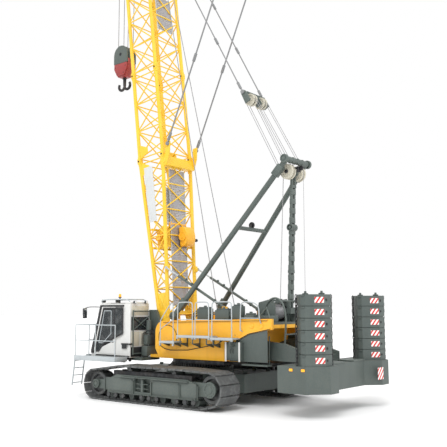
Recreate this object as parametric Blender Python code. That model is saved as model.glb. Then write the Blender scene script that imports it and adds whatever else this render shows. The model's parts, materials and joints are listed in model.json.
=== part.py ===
"""Crawler crane with a lattice boom, a short fixed fly jib and stacked counterweights.

Metres, +Z up, +X forward along the boom, +Y to the crane's left, where the cab is.  Every shape
is made in crane coordinates, whose origin is on the ground under the slewing axis.  The empty
"crane_origin" then moves the crane so that its overall box is centred on the world origin.
"""
import math

import bmesh
import bpy
from mathutils import Matrix, Vector

# ---------------------------------------------------------------- clearances
SEAT_GAP = 0.0003          # between pieces that touch
PIN_CLEARANCE = 0.0006     # radial, pin in its eye
RUN_CLEARANCE = 0.010      # between pieces that move past each other

# ---------------------------------------------------------------- undercarriage
TRACK_LENGTH = 6.79
TRACK_GAUGE = 4.78         # centre to centre
SHOE_WIDTH = 1.00
SHOE_PITCH = 0.28
SHOE_THICKNESS = 0.10
GROUSER_HEIGHT = 0.025
SPROCKET_RADIUS = 0.59     # outside the shoes
SPROCKET_HEIGHT = 0.70
IDLER_RADIUS = 0.56
IDLER_HEIGHT = 0.585
TRACK_TOP = 1.33
TOP_RUN_HALF = 1.50
GROUND_RUN_HALF = 2.35
ROLLER_RADIUS = 0.14
ROLLER_COUNT = 9
ROLLER_WIDTH = 0.44
FRAME_WIDTH = 0.76         # side frame, across
FRAME_BOTTOM = 0.30
FRAME_TOP = 0.98
CHEEK_THICKNESS = 0.06
WHEEL_WIDTH = 0.50         # sprocket and idler
CARBODY_RADIUS = 1.30
CARBODY_BOTTOM = 0.45
CARBODY_TOP = 1.22
CROSS_BEAM_OFFSET = 0.95
CROSS_BEAM_WIDTH = 0.52
BALLAST_LENGTH = 1.10
BALLAST_WIDTH = 2.10
BALLAST_HEIGHT = 0.65
RING_RADIUS = 1.05

# ---------------------------------------------------------------- superstructure
DECK_BOTTOM = 1.56
FLOOR_THICKNESS = 0.10
GIRDER_OUTER = 1.50        # half width over the side girders
GIRDER_THICKNESS = 0.12
GIRDER_TOP_FRONT = 2.94
GIRDER_TOP_REAR = 3.04
GIRDER_FRONT = 0.95
GIRDER_REAR = -4.45
WINCH_RADIUS = 0.30
WINCH_FLANGE = 0.44
WINCH_HALF = 0.56          # half length over the flanges
WINCH_HEIGHT = 2.45
HOIST_WINCHES = (("front", -1.18), ("rear", -2.28))
LUFF_WINCH_X = -3.72
LUFF_WINCH_Z = 3.10
LUFF_WINCH_Y = 0.30
LUFF_WINCH_HALF = 0.42

# ---------------------------------------------------------------- cab
CAB_REAR = 1.70
CAB_FRONT = 3.90
CAB_ROOF_FRONT = 3.38
CAB_INNER = 1.10           # side next to the boom
CAB_OUTER = 2.10
CAB_FLOOR = 1.55
CAB_ROOF = 3.60
CAB_WALL = 0.06
DOOR_THICKNESS = 0.045
DOOR_TRAVEL = 0.80

# ---------------------------------------------------------------- boom and jib
BOOM_FOOT = (1.05, 2.20)   # x, z of the foot pins
BOOM_ANGLE = math.radians(83.2)
BOOM_DEPTH = 1.30
BOOM_WIDTH = 1.64          # between the chords' centres
CHORD_RADIUS = 0.075
LACING_RADIUS = 0.034
FOOT_DEPTH = 0.34          # chord spread at the foot pins
FOOT_LENGTH = 7.36
INSERT_LENGTH = 3.76
HEAD_LENGTH = 3.72
FOOT_PIN_RADIUS = 0.09
HEAD_SHAFT_FORWARD = 1.25  # sheave shaft ahead of the boom's centre line
HEAD_SHAFT_BACK = 0.40     # and below the head's end
SHEAVE_RADIUS = 0.36
JIB_LENGTH = 8.00
JIB_DROP = math.radians(20.0)
JIB_DEPTH = 0.86
JIB_WIDTH = 0.90
JIB_CHORD_RADIUS = 0.05
JIB_TIP_PLATE = 0.11
STRUT_LENGTH = 6.40
STRUT_LEAN = math.radians(98.0)   # from the boom's direction, towards the rear
STAY_RADIUS = 0.035

# ---------------------------------------------------------------- A-frame and luffing gear
LEG_FOOT = (0.22, 3.12)
LEG_SPREAD = 1.25
LEG_WIDTH = 0.20
MAST_HEAD = (-4.55, 8.62)
MAST_HEAD_SPREAD = 0.62
LUFF_SHAFT = (-4.42, 8.22)
SPREADER_DISTANCE = 3.35   # from the luffing shaft to the spreader's sheaves
LUFF_SHAFT_RADIUS = 0.07
LUFF_SHEAVES = (-0.40, -0.24, 0.24, 0.40)
LINK_FOOT = (-4.22, 3.30)
BACKSTOP_FOOT = (-2.10, 3.36)
BACKSTOP_EYE_ALONG = 2.76  # on the boom, from the foot pins
BACKSTOP_SPREAD = BOOM_WIDTH / 2 + 0.135
BACKSTOP_TUBE = 0.05
BACKSTOP_ROD = 0.030

# ---------------------------------------------------------------- counterweights
SLAB_HEIGHT = 0.371
SLAB_COUNT = 6
SLAB_X = 1.05
SLAB_Y = 1.26
SLAB_CHAMFER = 0.44
SLAB_GROOVE = 0.018
STACK_CENTRE = (-6.30, 1.83)
BASE_BOTTOM = 0.78
BASE_TOP = 1.61
BASE_FRONT = -5.32
BASE_REAR = -6.95

# ---------------------------------------------------------------- hook
HOOK_DROP = 5.05           # shaft of the boom head to the top of the block
BLOCK_LENGTH = 0.84
BLOCK_WIDTH = 0.56
BLOCK_HEIGHT = 1.45

# ---------------------------------------------------------------- finishes: colour, roughness, metallic
FINISHES = {
    "boom_yellow": ((0.98, 0.66, 0.04, 1.0), 0.42, 0.0),
    "frame_yellow": ((0.98, 0.50, 0.03, 1.0), 0.42, 0.0),
    "frame_grey": ((0.13, 0.155, 0.145, 1.0), 0.50, 0.0),
    "track_steel": ((0.085, 0.085, 0.088, 1.0), 0.60, 0.6),
    "cab_white": ((0.88, 0.88, 0.85, 1.0), 0.35, 0.0),
    "glass": ((0.03, 0.04, 0.045, 0.5), 0.08, 0.0),
    "rail_grey": ((0.52, 0.56, 0.58, 1.0), 0.45, 0.0),
    "dark_steel": ((0.035, 0.037, 0.04, 1.0), 0.55, 0.5),
    "hook_red": ((0.42, 0.05, 0.045, 1.0), 0.45, 0.0),
    "seat_fabric": ((0.06, 0.06, 0.065, 1.0), 0.90, 0.0),
}

# Shapes that follow from the sizes above
BOOM_LENGTH = FOOT_LENGTH + 2 * INSERT_LENGTH + HEAD_LENGTH
BOOM_FRAME = (Matrix.Translation((BOOM_FOOT[0], 0.0, BOOM_FOOT[1]))
              @ Matrix.Rotation(-BOOM_ANGLE, 4, "Y"))
JIB_FRAME = (BOOM_FRAME @ Matrix.Translation((BOOM_LENGTH + 0.32, 0.0, 0.0))
             @ Matrix.Rotation(JIB_DROP, 4, "Y"))


def on_boom(along, across, behind):
    """A point on the boom: along it from the foot pins, to the left, and behind its centre line."""
    return BOOM_FRAME @ Vector((along, across, behind))


HEAD_SHAFT = on_boom(BOOM_LENGTH - HEAD_SHAFT_BACK, 0.0, -HEAD_SHAFT_FORWARD)
STRUT_FOOT = Vector((BOOM_LENGTH + 0.10, 0.0, BOOM_DEPTH / 2 + 0.10))
STRUT_TIP = STRUT_FOOT + STRUT_LENGTH * Vector((math.cos(STRUT_LEAN), 0.0, math.sin(STRUT_LEAN)))
BACKSTOP_EYE_BEHIND = (FOOT_DEPTH + (BOOM_DEPTH - FOOT_DEPTH) * BACKSTOP_EYE_ALONG / FOOT_LENGTH) / 2 + 0.10


# ================================================================ shape tools
def as_mesh(bm):
    """Close a bmesh into a mesh whose faces point out."""
    bmesh.ops.recalc_face_normals(bm, faces=bm.faces)
    mesh = bpy.data.meshes.new("shape")
    bm.to_mesh(mesh)
    bm.free()
    return mesh


def box(low, high):
    """A box between two corners."""
    bm = bmesh.new()
    bmesh.ops.create_cube(bm, size=1.0)
    size = [high[i] - low[i] for i in range(3)]
    centre = [(high[i] + low[i]) / 2 for i in range(3)]
    bmesh.ops.scale(bm, vec=size, verts=bm.verts)
    bmesh.ops.translate(bm, vec=centre, verts=bm.verts)
    return as_mesh(bm)


def rod(start, end, radius, sides=12, tip_radius=None):
    """A round or tapered bar between two points."""
    start, end = Vector(start), Vector(end)
    line = end - start
    bm = bmesh.new()
    bmesh.ops.create_cone(bm, cap_ends=True, segments=sides, radius1=radius,
                          radius2=radius if tip_radius is None else tip_radius, depth=line.length)
    turn = Matrix.Rotation(math.pi / sides, 4, "Z")
    place = Matrix.Translation((start + end) / 2) @ line.to_track_quat("Z", "Y").to_matrix().to_4x4()
    bmesh.ops.transform(bm, matrix=place @ turn, verts=bm.verts)
    return as_mesh(bm)


def square_bar(start, end, width):
    """A square tube between two points."""
    return rod(start, end, width / math.sqrt(2), sides=4)


def prism(outlines, low, high, axis="Y"):
    """Extrude flat outlines: (x, z) along Y, (y, z) along X or (x, y) along Z."""
    curve = bpy.data.curves.new("outline", "CURVE")
    curve.dimensions = "2D"
    curve.fill_mode = "BOTH"
    curve.extrude = (high - low) / 2
    for outline in outlines:
        spline = curve.splines.new("POLY")
        spline.points.add(len(outline) - 1)
        for point, (a, b) in zip(spline.points, outline):
            point.co = (a, b, 0.0, 1.0)
        spline.use_cyclic_u = True
    shape = bpy.data.objects.new("outline", curve)
    bpy.context.scene.collection.objects.link(shape)
    mesh = evaluated_mesh(shape)
    bpy.data.objects.remove(shape)
    middle = (low + high) / 2
    columns = {"Y": ((1, 0, 0), (0, 0, 1), (0, -1, 0)), "X": ((0, 1, 0), (0, 0, 1), (1, 0, 0)),
               "Z": ((1, 0, 0), (0, 1, 0), (0, 0, 1))}[axis]
    offset = {"Y": (0, middle, 0), "X": (middle, 0, 0), "Z": (0, 0, middle)}[axis]
    turn = Matrix(columns).transposed().to_4x4()
    mesh.transform(Matrix.Translation(offset) @ turn)
    bm = bmesh.new()
    bm.from_mesh(mesh)
    bmesh.ops.remove_doubles(bm, verts=bm.verts, dist=0.00005)
    return as_mesh(bm)


def evaluated_mesh(shape):
    """The mesh of an object with its modifiers or curve settings applied."""
    graph = bpy.context.evaluated_depsgraph_get()
    return bpy.data.meshes.new_from_object(shape.evaluated_get(graph))


def moved(mesh, matrix):
    """The same shape, moved."""
    mesh.transform(matrix)
    return mesh


def joined(meshes):
    """Several shapes in one mesh, not yet merged into one body."""
    bm = bmesh.new()
    for mesh in meshes:
        bm.from_mesh(mesh)
    return as_mesh(bm)


def combined(base, tools, operation):
    """An exact union or difference of one shape and a list of others."""
    scene = bpy.context.scene.collection.objects
    target = bpy.data.objects.new("target", base)
    cutter = bpy.data.objects.new("cutter", joined(tools))
    for item in (target, cutter):
        scene.link(item)
    step = target.modifiers.new("combine", "BOOLEAN")
    step.operation = operation
    step.solver = "EXACT"
    step.use_self = True
    step.object = cutter
    result = evaluated_mesh(target)
    for item in (target, cutter):
        bpy.data.objects.remove(item)
    bm = bmesh.new()
    bm.from_mesh(result)
    bmesh.ops.remove_doubles(bm, verts=bm.verts, dist=0.00002)
    bmesh.ops.dissolve_degenerate(bm, edges=bm.edges, dist=0.00002)
    bmesh.ops.triangulate(bm, faces=[face for face in bm.faces if len(face.verts) > 4])
    bm.to_mesh(result)
    bm.free()
    return result


def fused(*meshes):
    """One body from overlapping shapes."""
    return combined(meshes[0], meshes[1:], "UNION")


def cut(mesh, *tools):
    """A shape with others taken out of it."""
    return combined(mesh, tools, "DIFFERENCE")


class Crane:
    """The assembly: its bodies' empties, its nodes and its finishes."""

    def __init__(self):
        self.parts = bpy.data.collections.new("crawler_crane")
        bpy.context.scene.collection.children.link(self.parts)
        self.finishes = {name: self.finish(name, *values) for name, values in FINISHES.items()}
        self.origin = self.empty("crane_origin", (0.0, 0.0, 0.0), None)
        self.bodies = {}
        self.reach = (0.0, 0.0)

    @staticmethod
    def finish(name, colour, roughness, metallic):
        material = bpy.data.materials.new(name)
        material.use_nodes = True
        shader = material.node_tree.nodes["Principled BSDF"]
        shader.inputs["Base Color"].default_value = colour
        shader.inputs["Roughness"].default_value = roughness
        shader.inputs["Metallic"].default_value = metallic
        return material

    def empty(self, name, place, parent):
        item = bpy.data.objects.new(name, None)
        item.location = place
        item.parent = parent
        self.parts.objects.link(item)
        return item

    def body(self, name, pivot=(0.0, 0.0, 0.0)):
        """A rigid body, whose empty stands on its joint's axis."""
        self.bodies[name] = (self.empty(name + "_axis", pivot, self.origin), Vector(pivot))

    def add(self, name, body, mesh, finish):
        """One named node on a body."""
        parent, pivot = self.bodies[body]
        mesh.transform(Matrix.Translation(-pivot))
        mesh.materials.clear()
        mesh.materials.append(self.finishes[finish])
        item = bpy.data.objects.new(name, mesh)
        item.parent = parent
        self.parts.objects.link(item)
        mesh.shade_smooth()
        mesh.set_sharp_from_angle(angle=math.radians(35.0))
        reach = [vertex.co.x + pivot.x for vertex in mesh.vertices]
        self.reach = (min(self.reach[0], *reach), max(self.reach[1], *reach))

    def centre(self):
        """Move the crane so that its overall box is centred over the world origin."""
        self.origin.location.x = -sum(self.reach) / 2


# ================================================================ undercarriage
def hull(points):
    """The convex outline round a set of points, anticlockwise."""
    points = sorted(set(points))

    def half(row):
        chain = []
        for p in row:
            while len(chain) > 1 and ((chain[-1][0] - chain[-2][0]) * (p[1] - chain[-2][1])
                                      <= (chain[-1][1] - chain[-2][1]) * (p[0] - chain[-2][0])):
                chain.pop()
            chain.append(p)
        return chain[:-1]

    return half(points) + half(points[::-1])


def track_circles(inset):
    """The circles that the track runs round, as (x, z, radius), shrunk by an inset."""
    reach = TRACK_LENGTH / 2
    corner = 0.25
    return [(-reach + SPROCKET_RADIUS, SPROCKET_HEIGHT, SPROCKET_RADIUS - inset),
            (reach - IDLER_RADIUS, IDLER_HEIGHT, IDLER_RADIUS - inset),
            (-GROUND_RUN_HALF, corner, corner - inset), (GROUND_RUN_HALF, corner, corner - inset),
            (-TOP_RUN_HALF, TRACK_TOP - corner, corner - inset),
            (TOP_RUN_HALF, TRACK_TOP - corner, corner - inset)]


def track_outline(inset, facets=36):
    """The track's path at a depth below its outer face."""
    points = []
    for x, z, radius in track_circles(inset):
        for step in range(facets):
            angle = 2 * math.pi * step / facets
            points.append((round(x + radius * math.cos(angle), 5), round(z + radius * math.sin(angle), 5)))
    return hull(points)


def shoe_outline():
    """The outer outline, with a grouser at each shoe and a groove between shoes."""
    path = [Vector(point) for point in track_outline(0.0)]
    sides = list(zip(path, path[1:] + path[:1]))
    around = sum((b - a).length for a, b in sides)
    count = round(around / SHOE_PITCH)
    pitch = around / count
    marks = [(index + share) * pitch for index in range(count) for share in (0.06, 0.86, 0.90, 1.02)]
    outline = []
    for number, mark in enumerate(marks):
        distance = mark % around
        for a, b in sides:
            span = (b - a).length
            if distance <= span:
                break
            distance -= span
        along = (b - a) / span
        inward = Vector((-along.y, along.x))
        depth = 0.0 if number % 4 in (0, 1) else GROUSER_HEIGHT
        spot = a + along * distance + inward * depth
        outline.append((spot.x, max(spot.y, 0.0)))
    return outline


def add_undercarriage(crane):
    """Carbody, ballast, side frames with rollers, track loops, sprockets and idlers."""
    crane.body("undercarriage")
    inner_face = TRACK_GAUGE / 2 - FRAME_WIDTH / 2
    reach = inner_face - SEAT_GAP
    octagon = rod((0, 0, CARBODY_BOTTOM), (0, 0, CARBODY_TOP), CARBODY_RADIUS, sides=16)
    beams = [box((x - CROSS_BEAM_WIDTH / 2, -reach, CARBODY_BOTTOM + 0.07),
                 (x + CROSS_BEAM_WIDTH / 2, reach, CARBODY_TOP - 0.20))
             for x in (-CROSS_BEAM_OFFSET, CROSS_BEAM_OFFSET)]
    spine_half = 1.85
    spine = box((-spine_half, -0.62, CARBODY_BOTTOM + 0.05), (spine_half, 0.62, CARBODY_TOP - 0.24))
    crane.add("carbody", "undercarriage", fused(octagon, *beams, spine), "frame_grey")
    ballast_start = spine_half + SEAT_GAP
    for name, side in (("front", 1), ("rear", -1)):
        ends = sorted((side * ballast_start, side * (ballast_start + BALLAST_LENGTH)))
        crane.add("carbody_ballast_" + name, "undercarriage",
                  box((ends[0], -BALLAST_WIDTH / 2, CARBODY_BOTTOM),
                      (ends[1], BALLAST_WIDTH / 2, CARBODY_BOTTOM + BALLAST_HEIGHT)), "frame_grey")

    sprocket_x = -TRACK_LENGTH / 2 + SPROCKET_RADIUS
    idler_x = TRACK_LENGTH / 2 - IDLER_RADIUS
    for side_name, side in (("left", 1), ("right", -1)):
        middle = side * TRACK_GAUGE / 2
        loop = prism([shoe_outline(), track_outline(SHOE_THICKNESS)],
                     middle - SHOE_WIDTH / 2, middle + SHOE_WIDTH / 2)
        crane.add(side_name + "_track", "undercarriage", loop, "track_steel")

        frame_half = 2.18
        beam = prism([[(-frame_half, FRAME_BOTTOM), (frame_half, FRAME_BOTTOM),
                       (frame_half, FRAME_TOP - 0.18), (frame_half - 0.5, FRAME_TOP),
                       (-frame_half + 0.4, FRAME_TOP), (-frame_half, FRAME_TOP - 0.12)]],
                     middle - FRAME_WIDTH / 2, middle + FRAME_WIDTH / 2)
        cheeks = []
        for offset in (WHEEL_WIDTH / 2 + SEAT_GAP + CHEEK_THICKNESS / 2,
                       -WHEEL_WIDTH / 2 - SEAT_GAP - CHEEK_THICKNESS / 2):
            low, high = middle + offset - CHEEK_THICKNESS / 2, middle + offset + CHEEK_THICKNESS / 2
            cheeks.append(prism([[(-frame_half + 0.3, 0.42), (-frame_half + 0.3, 0.92),
                                  (sprocket_x, SPROCKET_HEIGHT + 0.22), (sprocket_x - 0.2, SPROCKET_HEIGHT),
                                  (sprocket_x, SPROCKET_HEIGHT - 0.22)]], low, high))
            cheeks.append(prism([[(frame_half - 0.3, 0.36), (idler_x, IDLER_HEIGHT - 0.16),
                                  (idler_x + 0.16, IDLER_HEIGHT), (idler_x, IDLER_HEIGHT + 0.16),
                                  (frame_half - 0.3, 0.78)]], low, high))
        roller_z = SHOE_THICKNESS + SEAT_GAP + ROLLER_RADIUS * math.cos(math.pi / 8)
        run = GROUND_RUN_HALF - 0.25
        rollers = [rod((x, middle - ROLLER_WIDTH / 2, roller_z), (x, middle + ROLLER_WIDTH / 2, roller_z),
                       ROLLER_RADIUS, sides=8)
                   for x in (-run + 2 * run * n / (ROLLER_COUNT - 1) for n in range(ROLLER_COUNT))]
        top_z = TRACK_TOP - SHOE_THICKNESS - 0.10 - SEAT_GAP
        for x in (-1.1, 1.1):
            rollers.append(rod((x, middle - 0.2, top_z), (x, middle + 0.2, top_z), 0.10, sides=12))
            rollers.append(box((x - 0.07, middle - 0.1, FRAME_TOP - 0.1), (x + 0.07, middle + 0.1, top_z)))
        body = fused(beam, *cheeks, *rollers)
        outer = middle + side * FRAME_WIDTH / 2
        recess_floor = outer - side * 0.14
        low, high = sorted((recess_floor, outer + side * 0.1))
        crane.add(side_name + "_track_frame", "undercarriage",
                  cut(body, box((-0.05, low, 0.42), (0.75, high, 0.90))), "frame_grey")
        for name, x, z, radius in (("sprocket", sprocket_x, SPROCKET_HEIGHT, SPROCKET_RADIUS),
                                   ("idler", idler_x, IDLER_HEIGHT, IDLER_RADIUS)):
            rim = (radius - SHOE_THICKNESS) * math.cos(math.pi / 36) - SEAT_GAP
            crane.add(side_name + "_" + name, "undercarriage",
                      rod((x, middle - WHEEL_WIDTH / 2, z), (x, middle + WHEEL_WIDTH / 2, z), rim, sides=24),
                      "track_steel")


# ================================================================ superstructure
def girder_outline():
    """Side view of a main girder: rounded front, belly over the slewing ring, slim tail."""
    corner = 0.42
    front = [(GIRDER_FRONT - corner + corner * math.sin(angle),
              GIRDER_TOP_FRONT - corner + corner * math.cos(angle))
             for angle in (math.radians(step) for step in range(0, 91, 15))]
    return front + [(GIRDER_FRONT, 1.90), (GIRDER_FRONT - 0.22, DECK_BOTTOM), (-2.45, DECK_BOTTOM),
                    (-2.90, 2.25), (-3.50, 2.52), (GIRDER_REAR, 2.68), (GIRDER_REAR, GIRDER_TOP_REAR)]


def plate(points, middle, thickness):
    """An upright plate in the XZ plane."""
    return prism([points], middle - thickness / 2, middle + thickness / 2)


def disc(x, z, low, high, radius, sides=12):
    """A round piece across the crane, between two y values."""
    return rod((x, low, z), (x, high, z), radius, sides)


def bore(x, z, low, high, radius, sides=12):
    """The tool for a round hole whose flats just clear a pin of the given radius."""
    return disc(x, z, low, high, (radius + PIN_CLEARANCE) / math.cos(math.pi / sides), sides)


def ear(x, z, base_z, half, y, thickness, hole):
    """An upright ear with a round hole at (x, z)."""
    shape = plate([(x - half, base_z), (x + half, base_z), (x + half, z), (x + half * 0.6, z + half * 0.8),
                   (x - half * 0.6, z + half * 0.8), (x - half, z)], y, thickness)
    return cut(shape, bore(x, z, y - thickness, y + thickness, hole, 24))


def add_superstructure(crane):
    """Main frame, slewing ring, deck, winches and machinery."""
    crane.body("superstructure")
    crane.add("slewing_ring", "superstructure",
              rod((0, 0, CARBODY_TOP + SEAT_GAP), (0, 0, DECK_BOTTOM - SEAT_GAP), RING_RADIUS, sides=24),
              "dark_steel")
    inner = GIRDER_OUTER - GIRDER_THICKNESS
    girders = [prism([girder_outline()], *sorted((side * inner, side * GIRDER_OUTER))) for side in (1, -1)]
    floor_top = DECK_BOTTOM + FLOOR_THICKNESS
    pieces = [box((-2.9, -inner - 0.02, DECK_BOTTOM), (1.30, inner + 0.02, floor_top)),
              box((-0.02, -inner - 0.02, 2.55), (0.40, inner + 0.02, 2.92)),
              box((-4.40, -inner - 0.02, 2.72), (-3.20, inner + 0.02, 2.84)),
              box((-3.15, -inner - 0.02, 1.70), (-3.03, inner + 0.02, 2.80)),
              box((-3.15, -inner - 0.02, DECK_BOTTOM + 0.01), (-2.80, inner + 0.02, 1.72))]
    for _, x in HOIST_WINCHES:
        for side in (1, -1):
            y = side * (WINCH_HALF + SEAT_GAP + 0.04)
            pieces.append(plate([(x - 0.35, floor_top - 0.02), (x + 0.35, floor_top - 0.02),
                                 (x + 0.16, WINCH_HEIGHT + 0.16), (x - 0.16, WINCH_HEIGHT + 0.16)], y, 0.08))
    frame = fused(girders[0], girders[1], *pieces)
    ears = []
    for side in (1, -1):
        for y in (BOOM_WIDTH / 2 - 0.12, BOOM_WIDTH / 2 + 0.12):
            ears.append(ear(BOOM_FOOT[0], BOOM_FOOT[1], floor_top - 0.03, 0.22, side * y, 0.08, FOOT_PIN_RADIUS))
        leg_x, leg_z = LEG_FOOT
        ears.append(plate([(leg_x - 0.16, 2.80), (leg_x + 0.16, 2.80), (leg_x + 0.12, leg_z + 0.10),
                           (leg_x - 0.12, leg_z + 0.10)], side * (LEG_SPREAD - 0.175 - SEAT_GAP), 0.09))
        foot_x, foot_z = BACKSTOP_FOOT
        ears.append(plate([(foot_x - 0.14, 2.46), (foot_x + 0.14, 2.46), (foot_x + 0.10, foot_z + 0.10),
                           (foot_x - 0.10, foot_z + 0.10)], side * (BACKSTOP_SPREAD + 0.11 + SEAT_GAP), 0.08))
    braces = [box((BACKSTOP_FOOT[0] - 0.16, side_low, 2.40), (BACKSTOP_FOOT[0] + 0.16, side_high, 2.60))
              for side_low, side_high in ((BACKSTOP_SPREAD + 0.05, inner + 0.02),
                                          (-inner - 0.02, -BACKSTOP_SPREAD - 0.05))]
    crane.add("main_frame", "superstructure", fused(frame, *ears, *braces), "frame_yellow")

    crane.add("machinery_deck", "superstructure",
              fused(box((-4.35, -1.36, 2.8403), (-3.15, 1.36, 2.92)),
                    plate([(-4.08, 2.86), (-3.28, 2.86), (-3.40, 3.60), (-3.95, 3.72), (-4.08, 3.50)],
                          LUFF_WINCH_Y + LUFF_WINCH_HALF + SEAT_GAP + 0.03, 0.06),
                    plate([(-4.08, 2.86), (-3.28, 2.86), (-3.40, 3.60), (-3.95, 3.72), (-4.08, 3.50)],
                          LUFF_WINCH_Y - LUFF_WINCH_HALF - SEAT_GAP - 0.03, 0.06),
                    box((-3.98, LUFF_WINCH_Y - LUFF_WINCH_HALF - 0.05, 3.62),
                        (-3.86, LUFF_WINCH_Y + LUFF_WINCH_HALF + 0.05, 3.70)),
                    box((LINK_FOOT[0] - 0.12, -0.26, 2.88), (LINK_FOOT[0] + 0.12, -0.18, 3.42))),
              "frame_grey")


def add_winches(crane):
    """Rope drums, each turning on its own axis."""
    for name, x in HOIST_WINCHES:
        body = "hoist_drum_" + name
        crane.body(body, (x, 0.0, WINCH_HEIGHT))
        crane.add("hoist_winch_" + name, body, drum(x, WINCH_HEIGHT, 0.0, WINCH_HALF, WINCH_RADIUS,
                                                    WINCH_FLANGE), "dark_steel")
    crane.body("luffing_drum", (LUFF_WINCH_X, LUFF_WINCH_Y, LUFF_WINCH_Z + 0.16))
    crane.add("luffing_winch", "luffing_drum",
              drum(LUFF_WINCH_X, LUFF_WINCH_Z + 0.16, LUFF_WINCH_Y, LUFF_WINCH_HALF, 0.22, 0.31), "dark_steel")


def drum(x, z, y, half, radius, flange):
    """A rope drum with two flanges."""
    rim = 0.05
    return fused(disc(x, z, y - half, y + half, radius, 16),
                 disc(x, z, y - half + 0.01, y - half + 0.01 + rim, flange, 16),
                 disc(x, z, y + half - 0.01 - rim, y + half - 0.01, flange, 16))


def add_engine_house(crane):
    """Hollow house on the right with its engine block and two service doors."""
    low_y, high_y = -2.56, -GIRDER_OUTER - SEAT_GAP
    rear, front, low_z, high_z = -4.30, 0.30, 1.62, 3.02
    wall = 0.05
    shell = box((rear, low_y, low_z), (front, high_y, high_z))
    hollow = box((rear + wall, low_y + wall, low_z + wall), (front - wall, high_y - wall, high_z - wall))
    doors = (("front", -1.85, 0.05), ("rear", -4.05, -2.15))
    openings = [box((start, low_y - 0.1, low_z + 0.18), (end, low_y + 0.1, high_z - 0.16))
                for _, start, end in doors]
    crane.add("engine_house", "superstructure", cut(shell, hollow, *openings), "frame_grey")
    crane.add("engine_block", "superstructure",
              box((-3.0, low_y + 0.22, low_z + wall + SEAT_GAP), (-0.9, high_y - 0.16, low_z + 1.0)), "dark_steel")
    for name, start, end in doors:
        body = "engine_door_" + name
        crane.body(body, (end + 0.04, low_y - 0.05 - SEAT_GAP, 0.0))
        crane.add(body, body,
                  box((start - 0.04, low_y - SEAT_GAP - 0.04, low_z + 0.12),
                      (end + 0.04, low_y - SEAT_GAP, high_z - 0.10)), "frame_grey")


def add_walkway(crane):
    """Walkway on the left of the main frame, its handrail and the grey cabinet below it."""
    outer = 1.97
    start = GIRDER_OUTER + SEAT_GAP
    treads = [box((-3.20, start, 2.24), (0.30, outer, 2.30)),
              box((-2.95, start, 2.08), (-2.85, start + 0.06, 2.26)),
              box((0.0, start, 2.08), (0.1, start + 0.06, 2.26))]
    posts = [-3.12, -2.45, -1.10, -0.35, 0.22]
    rail = [rod((x, outer - 0.04, 2.28), (x, outer - 0.04, 3.66), 0.02, sides=6) for x in posts]
    rail += [rod((posts[0], outer - 0.04, z), (posts[-1], outer - 0.04, z), 0.02, sides=6)
             for z in (3.66, 2.98)]
    crane.add("left_walkway", "superstructure", fused(*treads, *rail), "rail_grey")


# ================================================================ counterweights
def slab_outline(x, y, size_x, size_y, chamfer):
    """Plan of a slab: a rectangle with four cut corners."""
    a, b = size_x / 2, size_y / 2
    return [(x + a, y - b + chamfer), (x + a, y + b - chamfer), (x + a - chamfer, y + b),
            (x - a + chamfer, y + b), (x - a, y + b - chamfer), (x - a, y - b + chamfer),
            (x - a + chamfer, y - b), (x + a - chamfer, y - b)]


def add_counterweights(crane):
    """Base plate hung from the main frame, with a stack of slabs on each side."""
    centre_x, spread = STACK_CENTRE
    half = spread + SLAB_Y / 2
    plan = [(BASE_FRONT, -half), (BASE_FRONT, half), (BASE_FRONT - 0.45, half + 0.04),
            (BASE_REAR + 0.55, half + 0.04), (BASE_REAR, half - 0.50), (BASE_REAR, spread - 0.35),
            (BASE_REAR + 0.45, spread - 0.80), (BASE_REAR + 0.45, -spread + 0.80),
            (BASE_REAR, -spread + 0.35), (BASE_REAR, -half + 0.50), (BASE_REAR + 0.55, -half - 0.04),
            (BASE_FRONT - 0.45, -half - 0.04)]
    crane.add("counterweight_base", "superstructure", prism([plan], BASE_BOTTOM, BASE_TOP, axis="Z"),
              "frame_grey")
    carrier_front = -3.1503
    arms = []
    for side in (1, -1):
        arms.append(plate([(carrier_front, 1.66), (carrier_front, 2.15), (-3.6, 2.30), (-4.6, 2.20),
                           (BASE_FRONT - 0.25, 1.90), (BASE_FRONT - 0.25, BASE_TOP + SEAT_GAP),
                           (-4.6, BASE_TOP + SEAT_GAP)], side * 0.95, 0.14))
    cross = [box((-4.95, -1.0, 1.66), (-4.70, 1.0, 1.86)),
             box((BASE_FRONT - 0.25, -1.0, BASE_TOP + SEAT_GAP), (BASE_FRONT - 0.05, 1.0, BASE_TOP + 0.20))]
    crane.add("counterweight_carrier", "superstructure", fused(*arms, *cross), "frame_grey")
    for name, side in (("left", 1), ("right", -1)):
        slabs = []
        for level in range(SLAB_COUNT):
            low = BASE_TOP + SEAT_GAP + level * SLAB_HEIGHT
            slabs.append(prism([slab_outline(centre_x, side * spread, SLAB_X, SLAB_Y, SLAB_CHAMFER)],
                               low, low + SLAB_HEIGHT - SLAB_GROOVE, axis="Z"))
        height = SLAB_COUNT * SLAB_HEIGHT - SLAB_GROOVE
        core = prism([slab_outline(centre_x, side * spread, SLAB_X - 0.08, SLAB_Y - 0.08, SLAB_CHAMFER)],
                     BASE_TOP + 0.05, BASE_TOP + height - 0.05, axis="Z")
        crane.add(name + "_counterweight_stack", "superstructure", fused(core, *slabs), "frame_grey")


# ================================================================ cab
def cab_profile(inset):
    """Side view of the cab with a raked windscreen, shrunk by an inset."""
    rake = (CAB_FRONT - CAB_ROOF_FRONT) / (CAB_ROOF - CAB_FLOOR - 0.20)
    shift = inset * math.hypot(1.0, rake)
    kink = CAB_FLOOR + 0.20

    def screen(z):
        return CAB_FRONT - (z - kink) * rake - shift

    return [(CAB_REAR + inset, CAB_FLOOR + inset), (CAB_FRONT - shift, CAB_FLOOR + inset),
            (CAB_FRONT - shift, kink), (screen(CAB_ROOF - inset), CAB_ROOF - inset),
            (CAB_REAR + inset, CAB_ROOF - inset)]


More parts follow.
